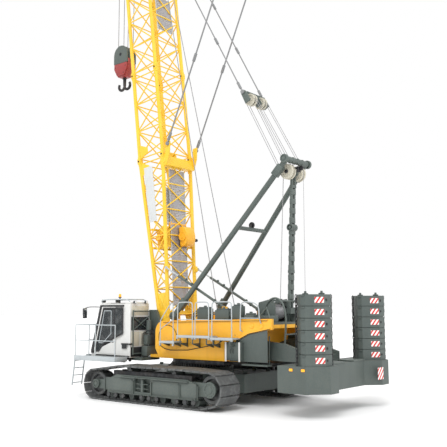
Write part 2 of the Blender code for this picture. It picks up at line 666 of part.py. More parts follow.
def door_outline(grow):
    """The door: its front edge runs with the windscreen."""
    return [(2.52 - grow, 1.66 - grow), (3.66 + grow, 1.66 - grow), (3.66 + grow, 1.86),
            (3.26 + grow, 3.44 + grow), (2.52 - grow, 3.44 + grow)]


def add_cab(crane):
    """Hollow cab with its door, windscreen, seat, console and support."""
    wall = CAB_WALL
    shell = prism([cab_profile(0.0)], CAB_INNER, CAB_OUTER)
    cavity = prism([cab_profile(wall)], CAB_INNER + wall, CAB_OUTER - wall)
    doorway = prism([door_outline(0.0)], CAB_OUTER - 0.1, CAB_OUTER + 0.1)
    rake = (CAB_FRONT - CAB_ROOF_FRONT) / (CAB_ROOF - CAB_FLOOR - 0.20)
    screen_low, screen_high = 1.82, 3.46

    def on_screen(z, depth):
        return (CAB_FRONT - (z - CAB_FLOOR - 0.20) * rake + depth, z)

    windscreen_hole = prism([[on_screen(screen_low, -0.3), on_screen(screen_low, 0.2),
                              on_screen(screen_high, 0.2), on_screen(screen_high, -0.3)]],
                            CAB_INNER + 0.09, CAB_OUTER - 0.09)
    right_window = prism([[(1.90, 2.35), (3.55, 1.95), (3.22, 3.40), (1.90, 3.40)]],
                         CAB_INNER - 0.1, CAB_INNER + 0.1)
    rear_window = box((CAB_REAR - 0.1, CAB_INNER + 0.12, 2.62), (CAB_REAR + 0.1, CAB_OUTER - 0.12, 3.05))
    roof_window = box((2.05, CAB_INNER + 0.18, CAB_ROOF - 0.1), (3.00, CAB_OUTER - 0.18, CAB_ROOF + 0.1))
    crane.add("cab_shell", "superstructure",
              cut(shell, cavity, doorway, windscreen_hole, right_window, rear_window, roof_window), "cab_white")
    glass = 0.012
    gap = 0.004
    pane = prism([[on_screen(screen_low + gap, -0.03), on_screen(screen_low + gap, -0.03 + glass),
                   on_screen(screen_high - gap, -0.03 + glass), on_screen(screen_high - gap, -0.03)]],
                 CAB_INNER + 0.09 + SEAT_GAP, CAB_OUTER - 0.09 - SEAT_GAP)
    crane.add("windscreen", "superstructure", pane, "glass")
    seat = fused(box((2.10, 1.36, CAB_FLOOR + wall + SEAT_GAP), (2.62, 1.84, 1.92)),
                 box((2.02, 1.34, 1.88), (2.68, 1.86, 2.08)),
                 prism([[(1.86, 1.98), (2.14, 1.98), (2.04, 2.92), (1.86, 2.92)]], 1.36, 1.84))
    crane.add("operator_seat", "superstructure", seat, "seat_fabric")

    crane.body("cab_door", (2.52, CAB_OUTER, 2.5))
    leaf = prism([door_outline(0.03)], CAB_OUTER + SEAT_GAP, CAB_OUTER + DOOR_THICKNESS)
    window = prism([[(2.66, 2.12), (3.50, 1.82), (3.20, 3.34), (2.66, 3.34)]], CAB_OUTER - 0.1, CAB_OUTER + 0.2)
    crane.add("cab_door", "cab_door", cut(leaf, window), "cab_white")

    arm = fused(box((1.32, 0.95, 1.44), (CAB_REAR + 0.25, CAB_INNER + 0.75, 1.5497)),
                box((CAB_REAR + 0.05, 0.95, 1.44), (3.60, 1.25, 1.5497)),
                box((1.3003, 0.90, 1.44), (1.50, 1.20, 1.90)),
                prism([[(1.31, 1.60), (1.6997, 1.60), (1.6997, 3.35), (1.32, 3.35), (1.12, 2.90), (1.31, 1.70)]],
                      0.985, 1.085))
    crane.add("cab_support", "superstructure", arm, "frame_grey")

    platform_outer = 2.77
    deck_start = CAB_OUTER + DOOR_THICKNESS + RUN_CLEARANCE
    platform = fused(box((1.80, deck_start, 1.46), (4.16, platform_outer, 1.54)),
                     box((CAB_FRONT + 0.0103, CAB_INNER, 1.46), (4.16, deck_start + 0.02, 1.54)),
                     box((CAB_REAR + 0.30, 1.2503, 1.44), (CAB_REAR + 0.45, deck_start + 0.02, 1.53)),
                     box((3.35, 1.2503, 1.44), (3.50, deck_start + 0.02, 1.53)),
                     box((3.35, 1.2503, 1.46), (4.00, 1.40, 1.53)))
    edge = platform_outer - 0.03
    rails = [platform]
    posts = [(1.84, edge), (2.95, edge), (4.12, edge), (4.12, CAB_INNER + 0.06), (4.12, 2.05)]
    for x, y in posts:
        rails.append(rod((x, y, 1.52), (x, y, 2.78), 0.02, sides=6))
    for z in (2.78, 2.18):
        rails.append(rod((1.84, edge, z), (4.12, edge, z), 0.02, sides=6))
        rails.append(rod((4.12, CAB_INNER + 0.06, z), (4.12, 2.05, z), 0.02, sides=6))
    rails.append(rod((4.12, 2.05, 2.78), (4.12, edge, 2.78), 0.02, sides=6))
    crane.add("cab_platform", "superstructure", fused(*rails), "rail_grey")
    ladder_x = 4.1603 + 0.03
    ladder = [rod((ladder_x, y, 1.52), (ladder_x + 0.16, y, 0.42), 0.03, sides=6) for y in (2.20, 2.68)]
    ladder += [box((4.1603, y - 0.042, 1.46), (4.23, y + 0.042, 1.55)) for y in (2.20, 2.68)]
    for step in range(4):
        z = 1.38 - 0.29 * step
        x = ladder_x + 0.16 * (1.52 - z) / 1.10
        ladder.append(box((x - 0.05, 2.20, z - 0.015), (x + 0.05, 2.68, z + 0.015)))
    crane.add("ladder", "superstructure", fused(*ladder), "rail_grey")


# ================================================================ boom and jib
def lattice(start, end, depths, width, bays, chord, brace):
    """A four-chord lattice along X: chords, a cross frame at each end and one diagonal per bay and face."""
    trim = chord * abs(depths[1] - depths[0]) / 2 / (end - start)
    start, end = start + trim, end - trim

    def corners(share):
        x = start + (end - start) * share
        half = (depths[0] + (depths[1] - depths[0]) * share) / 2
        return [Vector((x, y, z)) for y, z in ((width / 2, half), (-width / 2, half),
                                               (-width / 2, -half), (width / 2, -half))]

    chords = [rod(a, b, chord, sides=6) for a, b in zip(corners(0.0), corners(1.0))]
    braces = []
    inset = 0.10 / (end - start)
    stations = [inset + (1 - 2 * inset) * n / bays for n in range(bays + 1)]
    for number, share in enumerate(stations):
        here = corners(share)
        if number in (0, bays):
            braces += [rod(here[side], here[(side + 1) % 4], brace, sides=4) for side in range(4)]
        if number < bays:
            there = corners(stations[number + 1])
            for side in range(4):
                first, second = (side, (side + 1) % 4) if (side + number) % 2 else ((side + 1) % 4, side)
                braces.append(rod(here[first], there[second], brace, sides=4))
    return chords + braces


def add_boom(crane):
    """Foot section, two inserts and the head section, all one body."""
    crane.body("boom", (BOOM_FOOT[0], 0.0, BOOM_FOOT[1]))
    half_width = BOOM_WIDTH / 2
    lattice_start = 0.85
    share = lattice_start / FOOT_LENGTH
    start_depth = FOOT_DEPTH + (BOOM_DEPTH - FOOT_DEPTH) * share
    foot = lattice(lattice_start, FOOT_LENGTH - SEAT_GAP / 2, (start_depth, BOOM_DEPTH), BOOM_WIDTH, 5,
                   CHORD_RADIUS, LACING_RADIUS)
    pieces = []
    for side in (1, -1):
        y = side * half_width
        pieces.append(plate([(-0.14, -0.10), (-0.06, -0.17), (1.15, -start_depth / 2 - 0.09),
                             (1.15, start_depth / 2 + 0.09), (-0.06, 0.17), (-0.14, 0.10)], y, 0.14))
        pieces.append(disc(0.0, 0.0, y - 0.18, y + 0.18, FOOT_PIN_RADIUS, 24))
        eye = (BACKSTOP_EYE_ALONG, BACKSTOP_EYE_BEHIND)
        pieces.append(plate([(eye[0] - 0.18, eye[1] - 0.16), (eye[0] + 0.18, eye[1] - 0.12),
                             (eye[0] + 0.10, eye[1] + 0.07), (eye[0] - 0.10, eye[1] + 0.07)], y, 0.10))
        pieces.append(plate([(6.80, 0.50), (7.28, 0.50), (7.34, 0.80), (7.80, 0.90), (7.80, 1.10),
                             (7.30, 1.02), (6.90, 0.84)], y, 0.06))
    pieces.append(box((6.86, -half_width - 0.02, 0.52), (7.26, half_width + 0.02, 0.84)))
    pieces.append(box((0.95, -half_width, -0.10), (1.10, half_width, 0.10)))
    winch_x = 4.05
    for side in (1, -1):
        y = side * (0.40 + SEAT_GAP + 0.03)
        pieces.append(plate([(winch_x - 0.42, -0.30), (winch_x + 0.42, -0.30), (winch_x + 0.42, 0.34),
                             (winch_x - 0.42, 0.34)], y, 0.06))
    for x in (winch_x - 0.38, winch_x + 0.38):
        pieces.append(box((x - 0.04, -half_width, 0.26), (x + 0.04, half_width, 0.34)))
        pieces.append(box((x - 0.04, -half_width, -0.36), (x + 0.04, half_width, -0.28)))
    crane.add("boom_foot_section", "boom", moved(fused(foot[0], *foot[1:], *pieces), BOOM_FRAME),
              "boom_yellow")
    start = FOOT_LENGTH
    for name in ("lower", "upper"):
        section = lattice(start + SEAT_GAP / 2, start + INSERT_LENGTH - SEAT_GAP / 2, (BOOM_DEPTH, BOOM_DEPTH),
                          BOOM_WIDTH, 3, CHORD_RADIUS, LACING_RADIUS)
        crane.add("boom_insert_" + name, "boom", moved(fused(*section), BOOM_FRAME), "boom_yellow")
        start += INSERT_LENGTH
    head_end = BOOM_LENGTH - 0.30
    head = lattice(start + SEAT_GAP / 2, head_end, (BOOM_DEPTH, 0.95), BOOM_WIDTH, 3, CHORD_RADIUS,
                   LACING_RADIUS)
    shaft_x, shaft_z = BOOM_LENGTH - HEAD_SHAFT_BACK, -HEAD_SHAFT_FORWARD
    cheek_y = 0.40
    for side in (1, -1):
        head.append(plate([(head_end - 1.1, -0.66), (head_end - 0.2, -0.40), (BOOM_LENGTH + 0.2, -0.36),
                           (BOOM_LENGTH + 0.45, -0.12), (BOOM_LENGTH + 0.45, 0.12),
                           (BOOM_LENGTH + 0.25, 0.86), (BOOM_LENGTH - 0.05, 0.90), (head_end - 0.5, 0.60), (head_end - 0.9, 0.40),
                           (head_end - 1.1, 0.40)], side * half_width, 0.10))
        head.append(plate([(head_end - 1.3, -0.50), (shaft_x - 0.30, shaft_z - 0.06),
                           (shaft_x, shaft_z - 0.16), (shaft_x + 0.16, shaft_z),
                           (BOOM_LENGTH - 0.1, -0.30), (head_end - 0.2, 0.40), (head_end - 0.5, 0.40)],
                          side * cheek_y, 0.05))
    for x, z in ((head_end - 0.30, 0.36), (head_end - 0.45, -0.45), (BOOM_LENGTH + 0.10, -0.05)):
        head.append(box((x - 0.09, -half_width, z - 0.09), (x + 0.09, half_width, z + 0.09)))
    for side in (1, -1):
        head.append(plate([(BOOM_LENGTH - 0.55, 0.40), (BOOM_LENGTH - 0.10, 0.40),
                           (BOOM_LENGTH - 0.20, 1.00), (BOOM_LENGTH - 0.45, 1.00)], side * (0.71 + 2 * SEAT_GAP), 0.06))
    head.append(box((BOOM_LENGTH - 0.50, -half_width, 0.42), (BOOM_LENGTH - 0.15, half_width, 0.60)))
    crane.add("boom_head_section", "boom", moved(fused(*head), BOOM_FRAME), "boom_yellow")

    crane.body("jib_winch_drum", on_boom(winch_x, 0.0, 0.0))
    crane.add("jib_winch", "jib_winch_drum", moved(drum(winch_x, 0.0, 0.0, 0.40, 0.20, 0.27), BOOM_FRAME),
              "frame_yellow")


def add_jib(crane):
    """Fixed fly jib with its strut and stays, pinned to the boom head."""
    jib = lattice(0.35, JIB_LENGTH - 0.45, (0.55, JIB_DEPTH * 0.7), JIB_WIDTH, 5, JIB_CHORD_RADIUS, 0.026)
    half = JIB_WIDTH / 2
    for side in (1, -1):
        jib.append(plate([(-0.10, -0.10), (0.9, -0.32), (0.9, 0.32), (-0.10, 0.10)], side * half, 0.08))
        jib.append(plate([(JIB_LENGTH - 1.0, -0.33), (JIB_LENGTH - 0.1, -0.33), (JIB_LENGTH + 0.10, -0.16),
                          (JIB_LENGTH + 0.10, 0.10), (JIB_LENGTH - 0.5, 0.42), (JIB_LENGTH - 1.0, 0.36)],
                         side * half, JIB_TIP_PLATE))
    jib.append(rod((0.0, -BOOM_WIDTH / 2 + 0.0503, 0), (0.0, BOOM_WIDTH / 2 - 0.0503, 0), 0.07))
    jib.append(disc(JIB_LENGTH - 0.08, -0.10, -half, half, 0.08))
    jib.append(disc(JIB_LENGTH - 0.08, -0.10, -0.05, 0.05, 0.30))
    crane.add("fly_jib", "boom", moved(fused(*jib), JIB_FRAME), "boom_yellow")

    spread, narrow = 0.50, 0.30
    tip = STRUT_TIP
    foot = STRUT_FOOT
    strut = [rod(foot + Vector((0, side * spread, 0)), tip + Vector((0, side * narrow, 0)), 0.07, sides=8)
             for side in (1, -1)]
    along = (tip - foot).normalized()
    for share in (0.3, 0.62, 0.95):
        middle = foot + (tip - foot) * share
        width = spread + (narrow - spread) * share
        strut.append(rod(middle + Vector((0, -width, 0)), middle + Vector((0, width, 0)), 0.045, sides=8))
    bar_half = BOOM_WIDTH / 2 + 0.03
    strut.append(rod(tip + Vector((0, -bar_half, 0)), tip + Vector((0, bar_half, 0)), 0.06, sides=24))
    strut.append(rod(foot + Vector((0, -BOOM_WIDTH / 2 + 0.0503, 0)),
                     foot + Vector((0, BOOM_WIDTH / 2 - 0.0503, 0)), 0.06, sides=12))
    crane.add("jib_strut", "boom", moved(fused(*strut), BOOM_FRAME), "frame_grey")

    lug = Vector((7.70, 0.0, 1.00))
    jib_to_boom = BOOM_FRAME.inverted() @ JIB_FRAME
    anchor = jib_to_boom @ Vector((JIB_LENGTH - 0.55, 0.0, 0.30))
    for name, side in (("left", 1), ("right", -1)):
        y = side * (bar_half + SEAT_GAP + STAY_RADIUS)
        start, end = lug + Vector((0, y, 0)), tip + Vector((0, y, 0))
        stay = fused(rod(start, end, STAY_RADIUS * 0.9, sides=6),
                     *[disc(eye.x, eye.z, y - STAY_RADIUS, y + STAY_RADIUS, 0.08, 10) for eye in (start, end)])
        crane.add("rear_stay_" + name, "boom", moved(stay, BOOM_FRAME), "dark_steel")
        y = side * (half + JIB_TIP_PLATE / 2 + SEAT_GAP + STAY_RADIUS)
        start = tip + (anchor - tip).normalized() * 0.0603 + Vector((0, y, 0))
        end = anchor + Vector((0, y, 0))
        stay = fused(rod(start, end, STAY_RADIUS * 0.9, sides=6),
                     disc(end.x, end.z, y - STAY_RADIUS, y + STAY_RADIUS, 0.08, 10))
        crane.add("front_stay_" + name, "boom", moved(stay, BOOM_FRAME), "dark_steel")


# ================================================================ A-frame and luffing gear
def add_a_frame(crane):
    """The A-frame's two legs with their head, and the slotted rear link."""
    foot_x, foot_z = LEG_FOOT
    head_x, head_z = MAST_HEAD
    pieces = []
    for side in (1, -1):
        foot = Vector((foot_x, side * LEG_SPREAD, foot_z - 0.02))
        head = Vector((head_x, side * MAST_HEAD_SPREAD, head_z))
        pieces.append(square_bar(foot, head, LEG_WIDTH))
        pieces.append(disc(foot_x, foot_z, side * LEG_SPREAD - 0.13, side * LEG_SPREAD + 0.13, 0.13))
        y = side * 0.50
        shaft_x, shaft_z = LUFF_SHAFT
        pieces.append(plate([(head_x - 0.14, head_z + 0.10), (head_x + 0.14, head_z + 0.12),
                             (shaft_x + 0.16, shaft_z), (shaft_x, shaft_z - 0.16),
                             (shaft_x - 0.20, shaft_z)], y, 0.05))
    pieces.append(rod((head_x, -MAST_HEAD_SPREAD - 0.16, head_z), (head_x, MAST_HEAD_SPREAD + 0.16, head_z),
                      0.10, sides=8))
    share = 0.58
    knee = Vector((foot_x + (head_x - foot_x) * share, 0, foot_z + (head_z - foot_z) * share))
    spread = LEG_SPREAD + (MAST_HEAD_SPREAD - LEG_SPREAD) * share
    pieces.append(square_bar(knee - Vector((0, spread, 0)), knee + Vector((0, spread, 0)), 0.13))
    crane.add("a_frame_legs", "superstructure", fused(*pieces), "frame_grey")

    top = Vector((LUFF_SHAFT[0], 0, LUFF_SHAFT[1]))
    foot = Vector((LINK_FOOT[0], 0, LINK_FOOT[1]))
    bars = []
    for y in (-0.09, 0.09):
        bars.append(square_bar(foot + Vector((0, y, 0)), top + Vector((0, y, 0)), 0.075))
        bars.append(disc(top.x, top.z, y - 0.045, y + 0.045, 0.13))
    for share in (0.28, 0.56, 0.90):
        spot = foot + (top - foot) * share
        bars.append(box((spot.x - 0.06, -0.13, spot.z - 0.05), (spot.x + 0.06, 0.13, spot.z + 0.05)))
    bars.append(box((foot.x - 0.09, -0.1797, foot.z - 0.10), (foot.x + 0.09, 0.13, foot.z + 0.10)))
    link = cut(fused(*bars), bore(top.x, top.z, -0.3, 0.3, LUFF_SHAFT_RADIUS))
    crane.add("a_frame_rear_link", "superstructure", link, "frame_grey")


def luff_line():
    """Unit vector from the luffing shaft to the pendants' anchor on the boom head."""
    anchor = on_boom(BOOM_LENGTH - 0.32, 0.0, 0.90)
    shaft = Vector((LUFF_SHAFT[0], 0.0, LUFF_SHAFT[1]))
    return shaft, (anchor - shaft).normalized(), (anchor - shaft).length


def add_luffing_gear(crane):
    """Head sheaves on the A-frame, the travelling spreader and the two main pendants."""
    shaft, line, distance = luff_line()
    crane.body("mast_sheaves", shaft)
    wheels = [disc(shaft.x, shaft.z, -0.4747, 0.4747, LUFF_SHAFT_RADIUS)]
    for y in LUFF_SHEAVES:
        wheels.append(disc(shaft.x, shaft.z, y - 0.035, y + 0.035, 0.27))
    crane.add("mast_head_sheaves", "mast_sheaves", fused(*wheels), "rail_grey")

    crane.body("spreader", shaft)
    side_way = Vector((-line.z, 0.0, line.x))
    frame = Matrix(((line.x, 0, side_way.x, shaft.x), (0, 1, 0, 0), (line.z, 0, side_way.z, shaft.z),
                    (0, 0, 0, 1)))
    near = SPREADER_DISTANCE
    pieces = [disc(near, 0.0, -0.62, 0.62, 0.06, 12)]
    for y in LUFF_SHEAVES:
        pieces.append(disc(near, 0.0, y - 0.035, y + 0.035, 0.22))
    for side in (1, -1):
        y = side * 0.60
        pieces.append(plate([(near - 0.12, -0.14), (near + 0.30, -0.10), (near + 0.42, 0.0),
                             (near + 0.30, 0.10), (near - 0.12, 0.14)], y, 0.06))
    pieces.append(box((near + 0.10, -0.60, -0.05), (near + 0.20, 0.60, 0.05)))
    crane.add("spreader_block", "spreader", moved(fused(*pieces), frame), "frame_grey")
    for name, side in (("left", 1), ("right", -1)):
        y = side * (0.63 + SEAT_GAP + 0.025)
        bar = fused(rod((near + 0.32, y, 0), (distance, y, 0), 0.024, sides=8),
                    disc(near + 0.32, 0.0, y - 0.025, y + 0.025, 0.08, 12),
                    disc(distance, 0.0, y - 0.025, y + 0.025, 0.08, 12))
        crane.add("main_pendant_" + name, "spreader", moved(bar, frame), "dark_steel")


def add_backstops(crane):
    """Telescopic backstops: a tube on the superstructure and a rod that slides in it."""
    foot = Vector((BACKSTOP_FOOT[0], 0.0, BACKSTOP_FOOT[1]))
    eye = on_boom(BACKSTOP_EYE_ALONG, 0.0, BACKSTOP_EYE_BEHIND)
    line = (eye - foot).normalized()
    length = (eye - foot).length
    side_way = Vector((-line.z, 0.0, line.x))
    frame = Matrix(((line.x, 0, side_way.x, foot.x), (0, 1, 0, 0), (line.z, 0, side_way.z, foot.z),
                    (0, 0, 0, 1)))
    crane.body("backstop_tubes", foot)
    crane.body("backstop_rods", foot)
    tube_end = length - 0.75
    for name, side in (("left", 1), ("right", -1)):
        y = side * BACKSTOP_SPREAD
        tube = fused(rod((0.0, y, 0), (tube_end, y, 0), BACKSTOP_TUBE, sides=8),
                     disc(0.0, 0.0, y - 0.07, y + 0.07, 0.07, 12))
        bore = rod((0.30, y, 0), (tube_end + 0.1, y, 0), BACKSTOP_ROD + 2 * SEAT_GAP, sides=8)
        crane.add("backstop_tube_" + name, "backstop_tubes", moved(cut(tube, bore), frame), "frame_grey")
        piston = fused(rod((0.50, y, 0), (length, y, 0), BACKSTOP_ROD, sides=8),
                       disc(length, 0.0, y - 0.03, y + 0.03, 0.055, 10))
        crane.add("backstop_rod_" + name, "backstop_rods", moved(piston, frame), "rail_grey")


# ================================================================ hook
def add_hook(crane):
    """Boom head sheaves, the hook block that hangs from them and its swivelling double hook."""
    crane.body("head_sheaves", HEAD_SHAFT)
    x, z = HEAD_SHAFT.x, HEAD_SHAFT.z
    wheels = [disc(x, z, -0.3747, 0.3747, 0.07)]
    for y in (-0.24, -0.08, 0.08, 0.24):
        wheels.append(disc(x, z, y - 0.03, y + 0.03, SHEAVE_RADIUS, 14))
    crane.add("boom_head_sheaves", "head_sheaves", fused(*wheels), "rail_grey")

    top = z - HOOK_DROP
    bottom = top - BLOCK_HEIGHT
    crane.body("hook_block", (x, 0.0, top))
    half = BLOCK_LENGTH / 2
    outline = [(x - half, bottom + 0.35), (x - 0.22, bottom), (x + 0.22, bottom), (x + half, bottom + 0.35),
               (x + half, top - 0.42), (x + 0.20, top), (x - 0.20, top), (x - half, top - 0.42)]
    block = prism([outline], -BLOCK_WIDTH / 2, BLOCK_WIDTH / 2)
    slots = [box((x - 0.36, y - 0.035, top - 0.55), (x + 0.36, y + 0.035, top + 0.1))
             for y in (-0.15, 0.0, 0.15)]
    crane.add("hook_block", "hook_block", cut(block, *slots), "hook_red")
    crane.body("hook", (x, 0.0, bottom))
    shank_top = bottom - SEAT_GAP
    hook = [rod((x, 0, shank_top - 0.34), (x, 0, shank_top), 0.075, sides=12)]
    arc_radius, thick = 0.155, 0.055
    low = shank_top - 0.36
    for side in (1, -1):
        centre = Vector((x + side * arc_radius, 0.0, low))
        points = [centre + arc_radius * Vector((-side * math.cos(angle), 0.0, -math.sin(angle)))
                  for angle in (math.radians(step) for step in (-20, 25, 70, 110, 155, 195))]
        for number, (a, b) in enumerate(zip(points, points[1:])):
            stretch = (b - a).normalized() * thick * 0.35
            hook.append(rod(a - stretch, b + stretch, thick + 0.012 * (3 - number) / 3, sides=8))
    crane.add("hook", "hook", fused(*hook), "dark_steel")


def main():
    """Clear the scene and build the crane."""
    for item in list(bpy.data.objects):
        bpy.data.objects.remove(item)
    crane = Crane()
    add_undercarriage(crane)
    add_superstructure(crane)
    add_winches(crane)
    add_engine_house(crane)
    add_walkway(crane)
    add_counterweights(crane)
    add_cab(crane)
    add_boom(crane)
    add_jib(crane)
    add_a_frame(crane)
    add_luffing_gear(crane)
    add_backstops(crane)
    add_hook(crane)
    crane.centre()


main()
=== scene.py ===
"""Looks of the crawler crane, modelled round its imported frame.

Metres, +Z up, +X forward along the boom, +Y to the crane's left, where the cab is.  Pieces are
shaped in crane coordinates (origin on the ground under the slewing axis) or in boom coordinates
(along the boom, across it, behind it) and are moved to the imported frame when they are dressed.
"""
from __future__ import annotations

import json
import logging
import math
from dataclasses import dataclass
from enum import Enum
from typing import Callable, Iterable, Sequence
import bpy
from mathutils import Matrix, Vector

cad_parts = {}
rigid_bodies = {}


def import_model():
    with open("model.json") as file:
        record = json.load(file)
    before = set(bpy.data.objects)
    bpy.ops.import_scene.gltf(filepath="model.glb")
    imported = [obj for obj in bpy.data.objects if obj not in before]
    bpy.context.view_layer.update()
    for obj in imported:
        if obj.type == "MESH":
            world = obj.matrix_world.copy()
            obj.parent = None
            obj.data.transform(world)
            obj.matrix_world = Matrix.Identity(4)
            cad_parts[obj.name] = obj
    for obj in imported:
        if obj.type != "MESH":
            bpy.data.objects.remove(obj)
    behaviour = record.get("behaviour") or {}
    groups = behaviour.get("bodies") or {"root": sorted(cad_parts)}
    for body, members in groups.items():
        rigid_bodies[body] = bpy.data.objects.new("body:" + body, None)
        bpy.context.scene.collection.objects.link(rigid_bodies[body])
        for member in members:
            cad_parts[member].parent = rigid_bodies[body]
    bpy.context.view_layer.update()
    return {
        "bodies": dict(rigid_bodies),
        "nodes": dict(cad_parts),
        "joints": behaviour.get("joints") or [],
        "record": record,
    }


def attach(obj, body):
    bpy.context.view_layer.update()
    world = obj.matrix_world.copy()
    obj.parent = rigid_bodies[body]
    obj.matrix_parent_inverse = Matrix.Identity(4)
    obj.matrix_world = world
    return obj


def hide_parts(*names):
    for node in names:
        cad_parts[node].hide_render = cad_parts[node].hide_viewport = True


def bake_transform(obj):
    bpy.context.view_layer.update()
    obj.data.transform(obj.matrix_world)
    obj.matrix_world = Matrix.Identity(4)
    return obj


LOG = logging.getLogger('crawler_crane')
Colour = tuple[float, float, float]
Point = Sequence[float]
Piece = bpy.types.Object


# ================================================================ shader graphs
class Signal:
    """The output of a shader node, written into Python arithmetic."""

    def __init__(self, graph: Graph, socket: bpy.types.NodeSocket) -> None:
        """Wrap one output socket of a graph."""
        self.graph = graph
        self.socket = socket

    def maths(self, operation: str, *values: Signal | float) -> Signal:
        """Add one Math node and return its result."""
        return self.graph.node('ShaderNodeMath', {'operation': operation}, *values)

    def __add__(self, other: Signal | float) -> Signal:
        """Sum."""
        return self.maths('ADD', self, other)

    def __sub__(self, other: Signal | float) -> Signal:
        """Difference."""
        return self.maths('SUBTRACT', self, other)

    def __rsub__(self, other: float) -> Signal:
        """Difference from a number."""
        return self.maths('SUBTRACT', other, self)

    def __mul__(self, other: Signal | float) -> Signal:
        """Product."""
        return self.maths('MULTIPLY', self, other)

    def __gt__(self, other: float) -> Signal:
        """1 where the value is above a threshold."""
        return self.maths('GREATER_THAN', self, other)
    __radd__ = __add__
    __rmul__ = __mul__

    def clamped(self) -> Signal:
        """The value held between 0 and 1."""
        return self.graph.node('ShaderNodeClamp', {}, self)

    def fraction(self) -> Signal:
        """What is left after the whole number, for repeating bands."""
        return self.maths('FRACT', self)

    def axis(self, name: str) -> Signal:
        """One component, X, Y or Z, of a vector."""
        return self.graph.node('ShaderNodeSeparateXYZ', {}, self, out=name)


class Graph:
    """The node tree of one material."""

    def __init__(self, name: str) -> None:
        """Start a material with its Principled shader and the Object coordinates.

        Args:
            name: The piece's name.
        """
        self.material = bpy.data.materials.new(name)
        self.material.use_nodes = True
        self.tree = self.material.node_tree
        self.shader = self.tree.nodes['Principled BSDF']
        self.place = self.node('ShaderNodeTexCoord', {}, out='Object')

    def feed(self, socket: bpy.types.NodeSocket, value: Signal | float | Point) -> None:
        """Link a signal to a socket, or set the socket's own value.

        Args:
            socket: The socket to feed.
            value: A signal, a number or a colour.
        """
        if isinstance(value, Signal):
            self.tree.links.new(value.socket, socket)
        elif isinstance(value, (int, float)):
            socket.default_value = value
        else:
            socket.default_value = (*value, 1.0) if socket.type == 'RGBA' else tuple(value)

    def node(self, kind: str, settings: dict, *values: Signal | float | Point, out: int | str=0,
            **inputs: Signal | float | Point) -> Signal:
        """Add a node.

        Args:
            kind: The node's type.
            settings: The node's own settings, which are set first.
            values: What its first sockets take, in order.
            out: The output that is wanted.
            inputs: What its other sockets take, by name.

        Returns:
            The wanted output.
        """
        item = self.tree.nodes.new(kind)
        for key, value in settings.items():
            setattr(item, key, value)
        for key, value in [*enumerate(values), *inputs.items()]:
            self.feed(item.inputs[key], value)
        return Signal(self, item.outputs[out])

    def noise(self, scale: float, detail: float=3.0, stretch: Point=(1.0, 1.0, 1.0)) -> Signal:
        """Fractal noise on the Object coordinates, drawn out along an axis by stretch."""
        where = self.node('ShaderNodeMapping', {}, self.place, Scale=stretch)
        return self.node('ShaderNodeTexNoise', {}, Vector=where, Scale=scale, Detail=detail)

    def mix(self, share: Signal | float, low: Signal | Colour, high: Signal | Colour) -> Signal:
        """A colour between two, by a share.

        Args:
            share: From 0, all of the first, to 1, all of the second.
            low: The lowest corner or the first value.
            high: The highest corner or the second value.

        Returns:
            The new signal.
        """
        result = self.node('ShaderNodeMix', {'data_type': 'RGBA'}, share, out=2)
        node = result.socket.node
        self.feed(node.inputs[6], low)
        self.feed(node.inputs[7], high)
        return result

    def facing_up(self) -> Signal:
        """1 on faces that look up, 0 on upright faces and below."""
        return self.node('ShaderNodeNewGeometry', {}, out='Normal').axis('Z').clamped()

    def bump(self, height: Signal, strength: float, depth: float) -> None:
        """Feed the shader's normal from a height."""
        normal = self.node('ShaderNodeBump', {}, Strength=strength, Distance=depth, Height=height)
        self.feed(self.shader.inputs['Normal'], normal)

    def set(self, **values: Signal | float | Colour) -> bpy.types.Material:
        """Set the shader's sockets, named with underscores for spaces, and return the material.

        Args:
            values: What is fed in, in order.

        Returns:
            The material.
        """
        for key, value in values.items():
            self.feed(self.shader.inputs[key.replace('_', ' ')], value)
        return self.material
BOOM_ANGLE = math.radians(83.2)
HAIR = 0.0004  # metres between a fitting and the face that it stands on
PROUD = 0.0005  # the same, for heavier plates
DUST: Colour = (0.36, 0.31, 0.24)


@dataclass(frozen=True)
class Surface:
    """What a finish is called and the record's slot that it fills."""
    name: str
    slot: str


# ================================================================ finishes
@dataclass(frozen=True)
class Paint(Surface):
    """Sprayed paint on steel: sun-faded patches, rain streaks, dust and fine orange peel."""
    colour: Colour
    faded: Colour
    roughness: float = 0.42
    dust: float = 0.35
    metallic: float = 0.0
    coat: float = 0.15

    def material(self) -> bpy.types.Material:
        """Build the paint's node tree.

        Returns:
            The material.
        """
        graph = Graph(self.name)
        patches = graph.noise(0.8, 4.0)
        streaks = graph.noise(4.0, 4.0, stretch=(1.0, 1.0, 0.12))
        grains = graph.noise(26.0, 5.0)
        height = graph.place.axis('Z')
        near_ground = ((2.6 - height) * 0.38).clamped()
        worn = ((patches - 0.42) * 2.4).clamped()
        tone = graph.mix(worn, self.colour, self.faded)
        runs = ((streaks - 0.52) * 3.0).clamped() * 0.28
        tone = graph.mix(runs, tone, tuple((0.62 * part for part in self.colour)))
        settled = ((grains - 0.4) * 2.2).clamped() * (0.3 + graph.facing_up() * 0.35 + near_ground * 0.6)
        tone = graph.mix((settled * self.dust).clamped(), tone, DUST)
        chips = (graph.noise(9.0, 9.0) > 0.735) * 0.6
        tone = graph.mix(chips, tone, (0.1, 0.085, 0.075))
        graph.bump(graph.noise(180.0, 2.0) * 0.5 + grains * 0.5, 0.1, 0.004)
        return graph.set(Base_Color=tone, Roughness=settled * 0.35 + patches * 0.12 + (self.roughness - 0.05),
            Metallic=self.metallic, Coat_Weight=self.coat, Coat_Roughness=0.25)


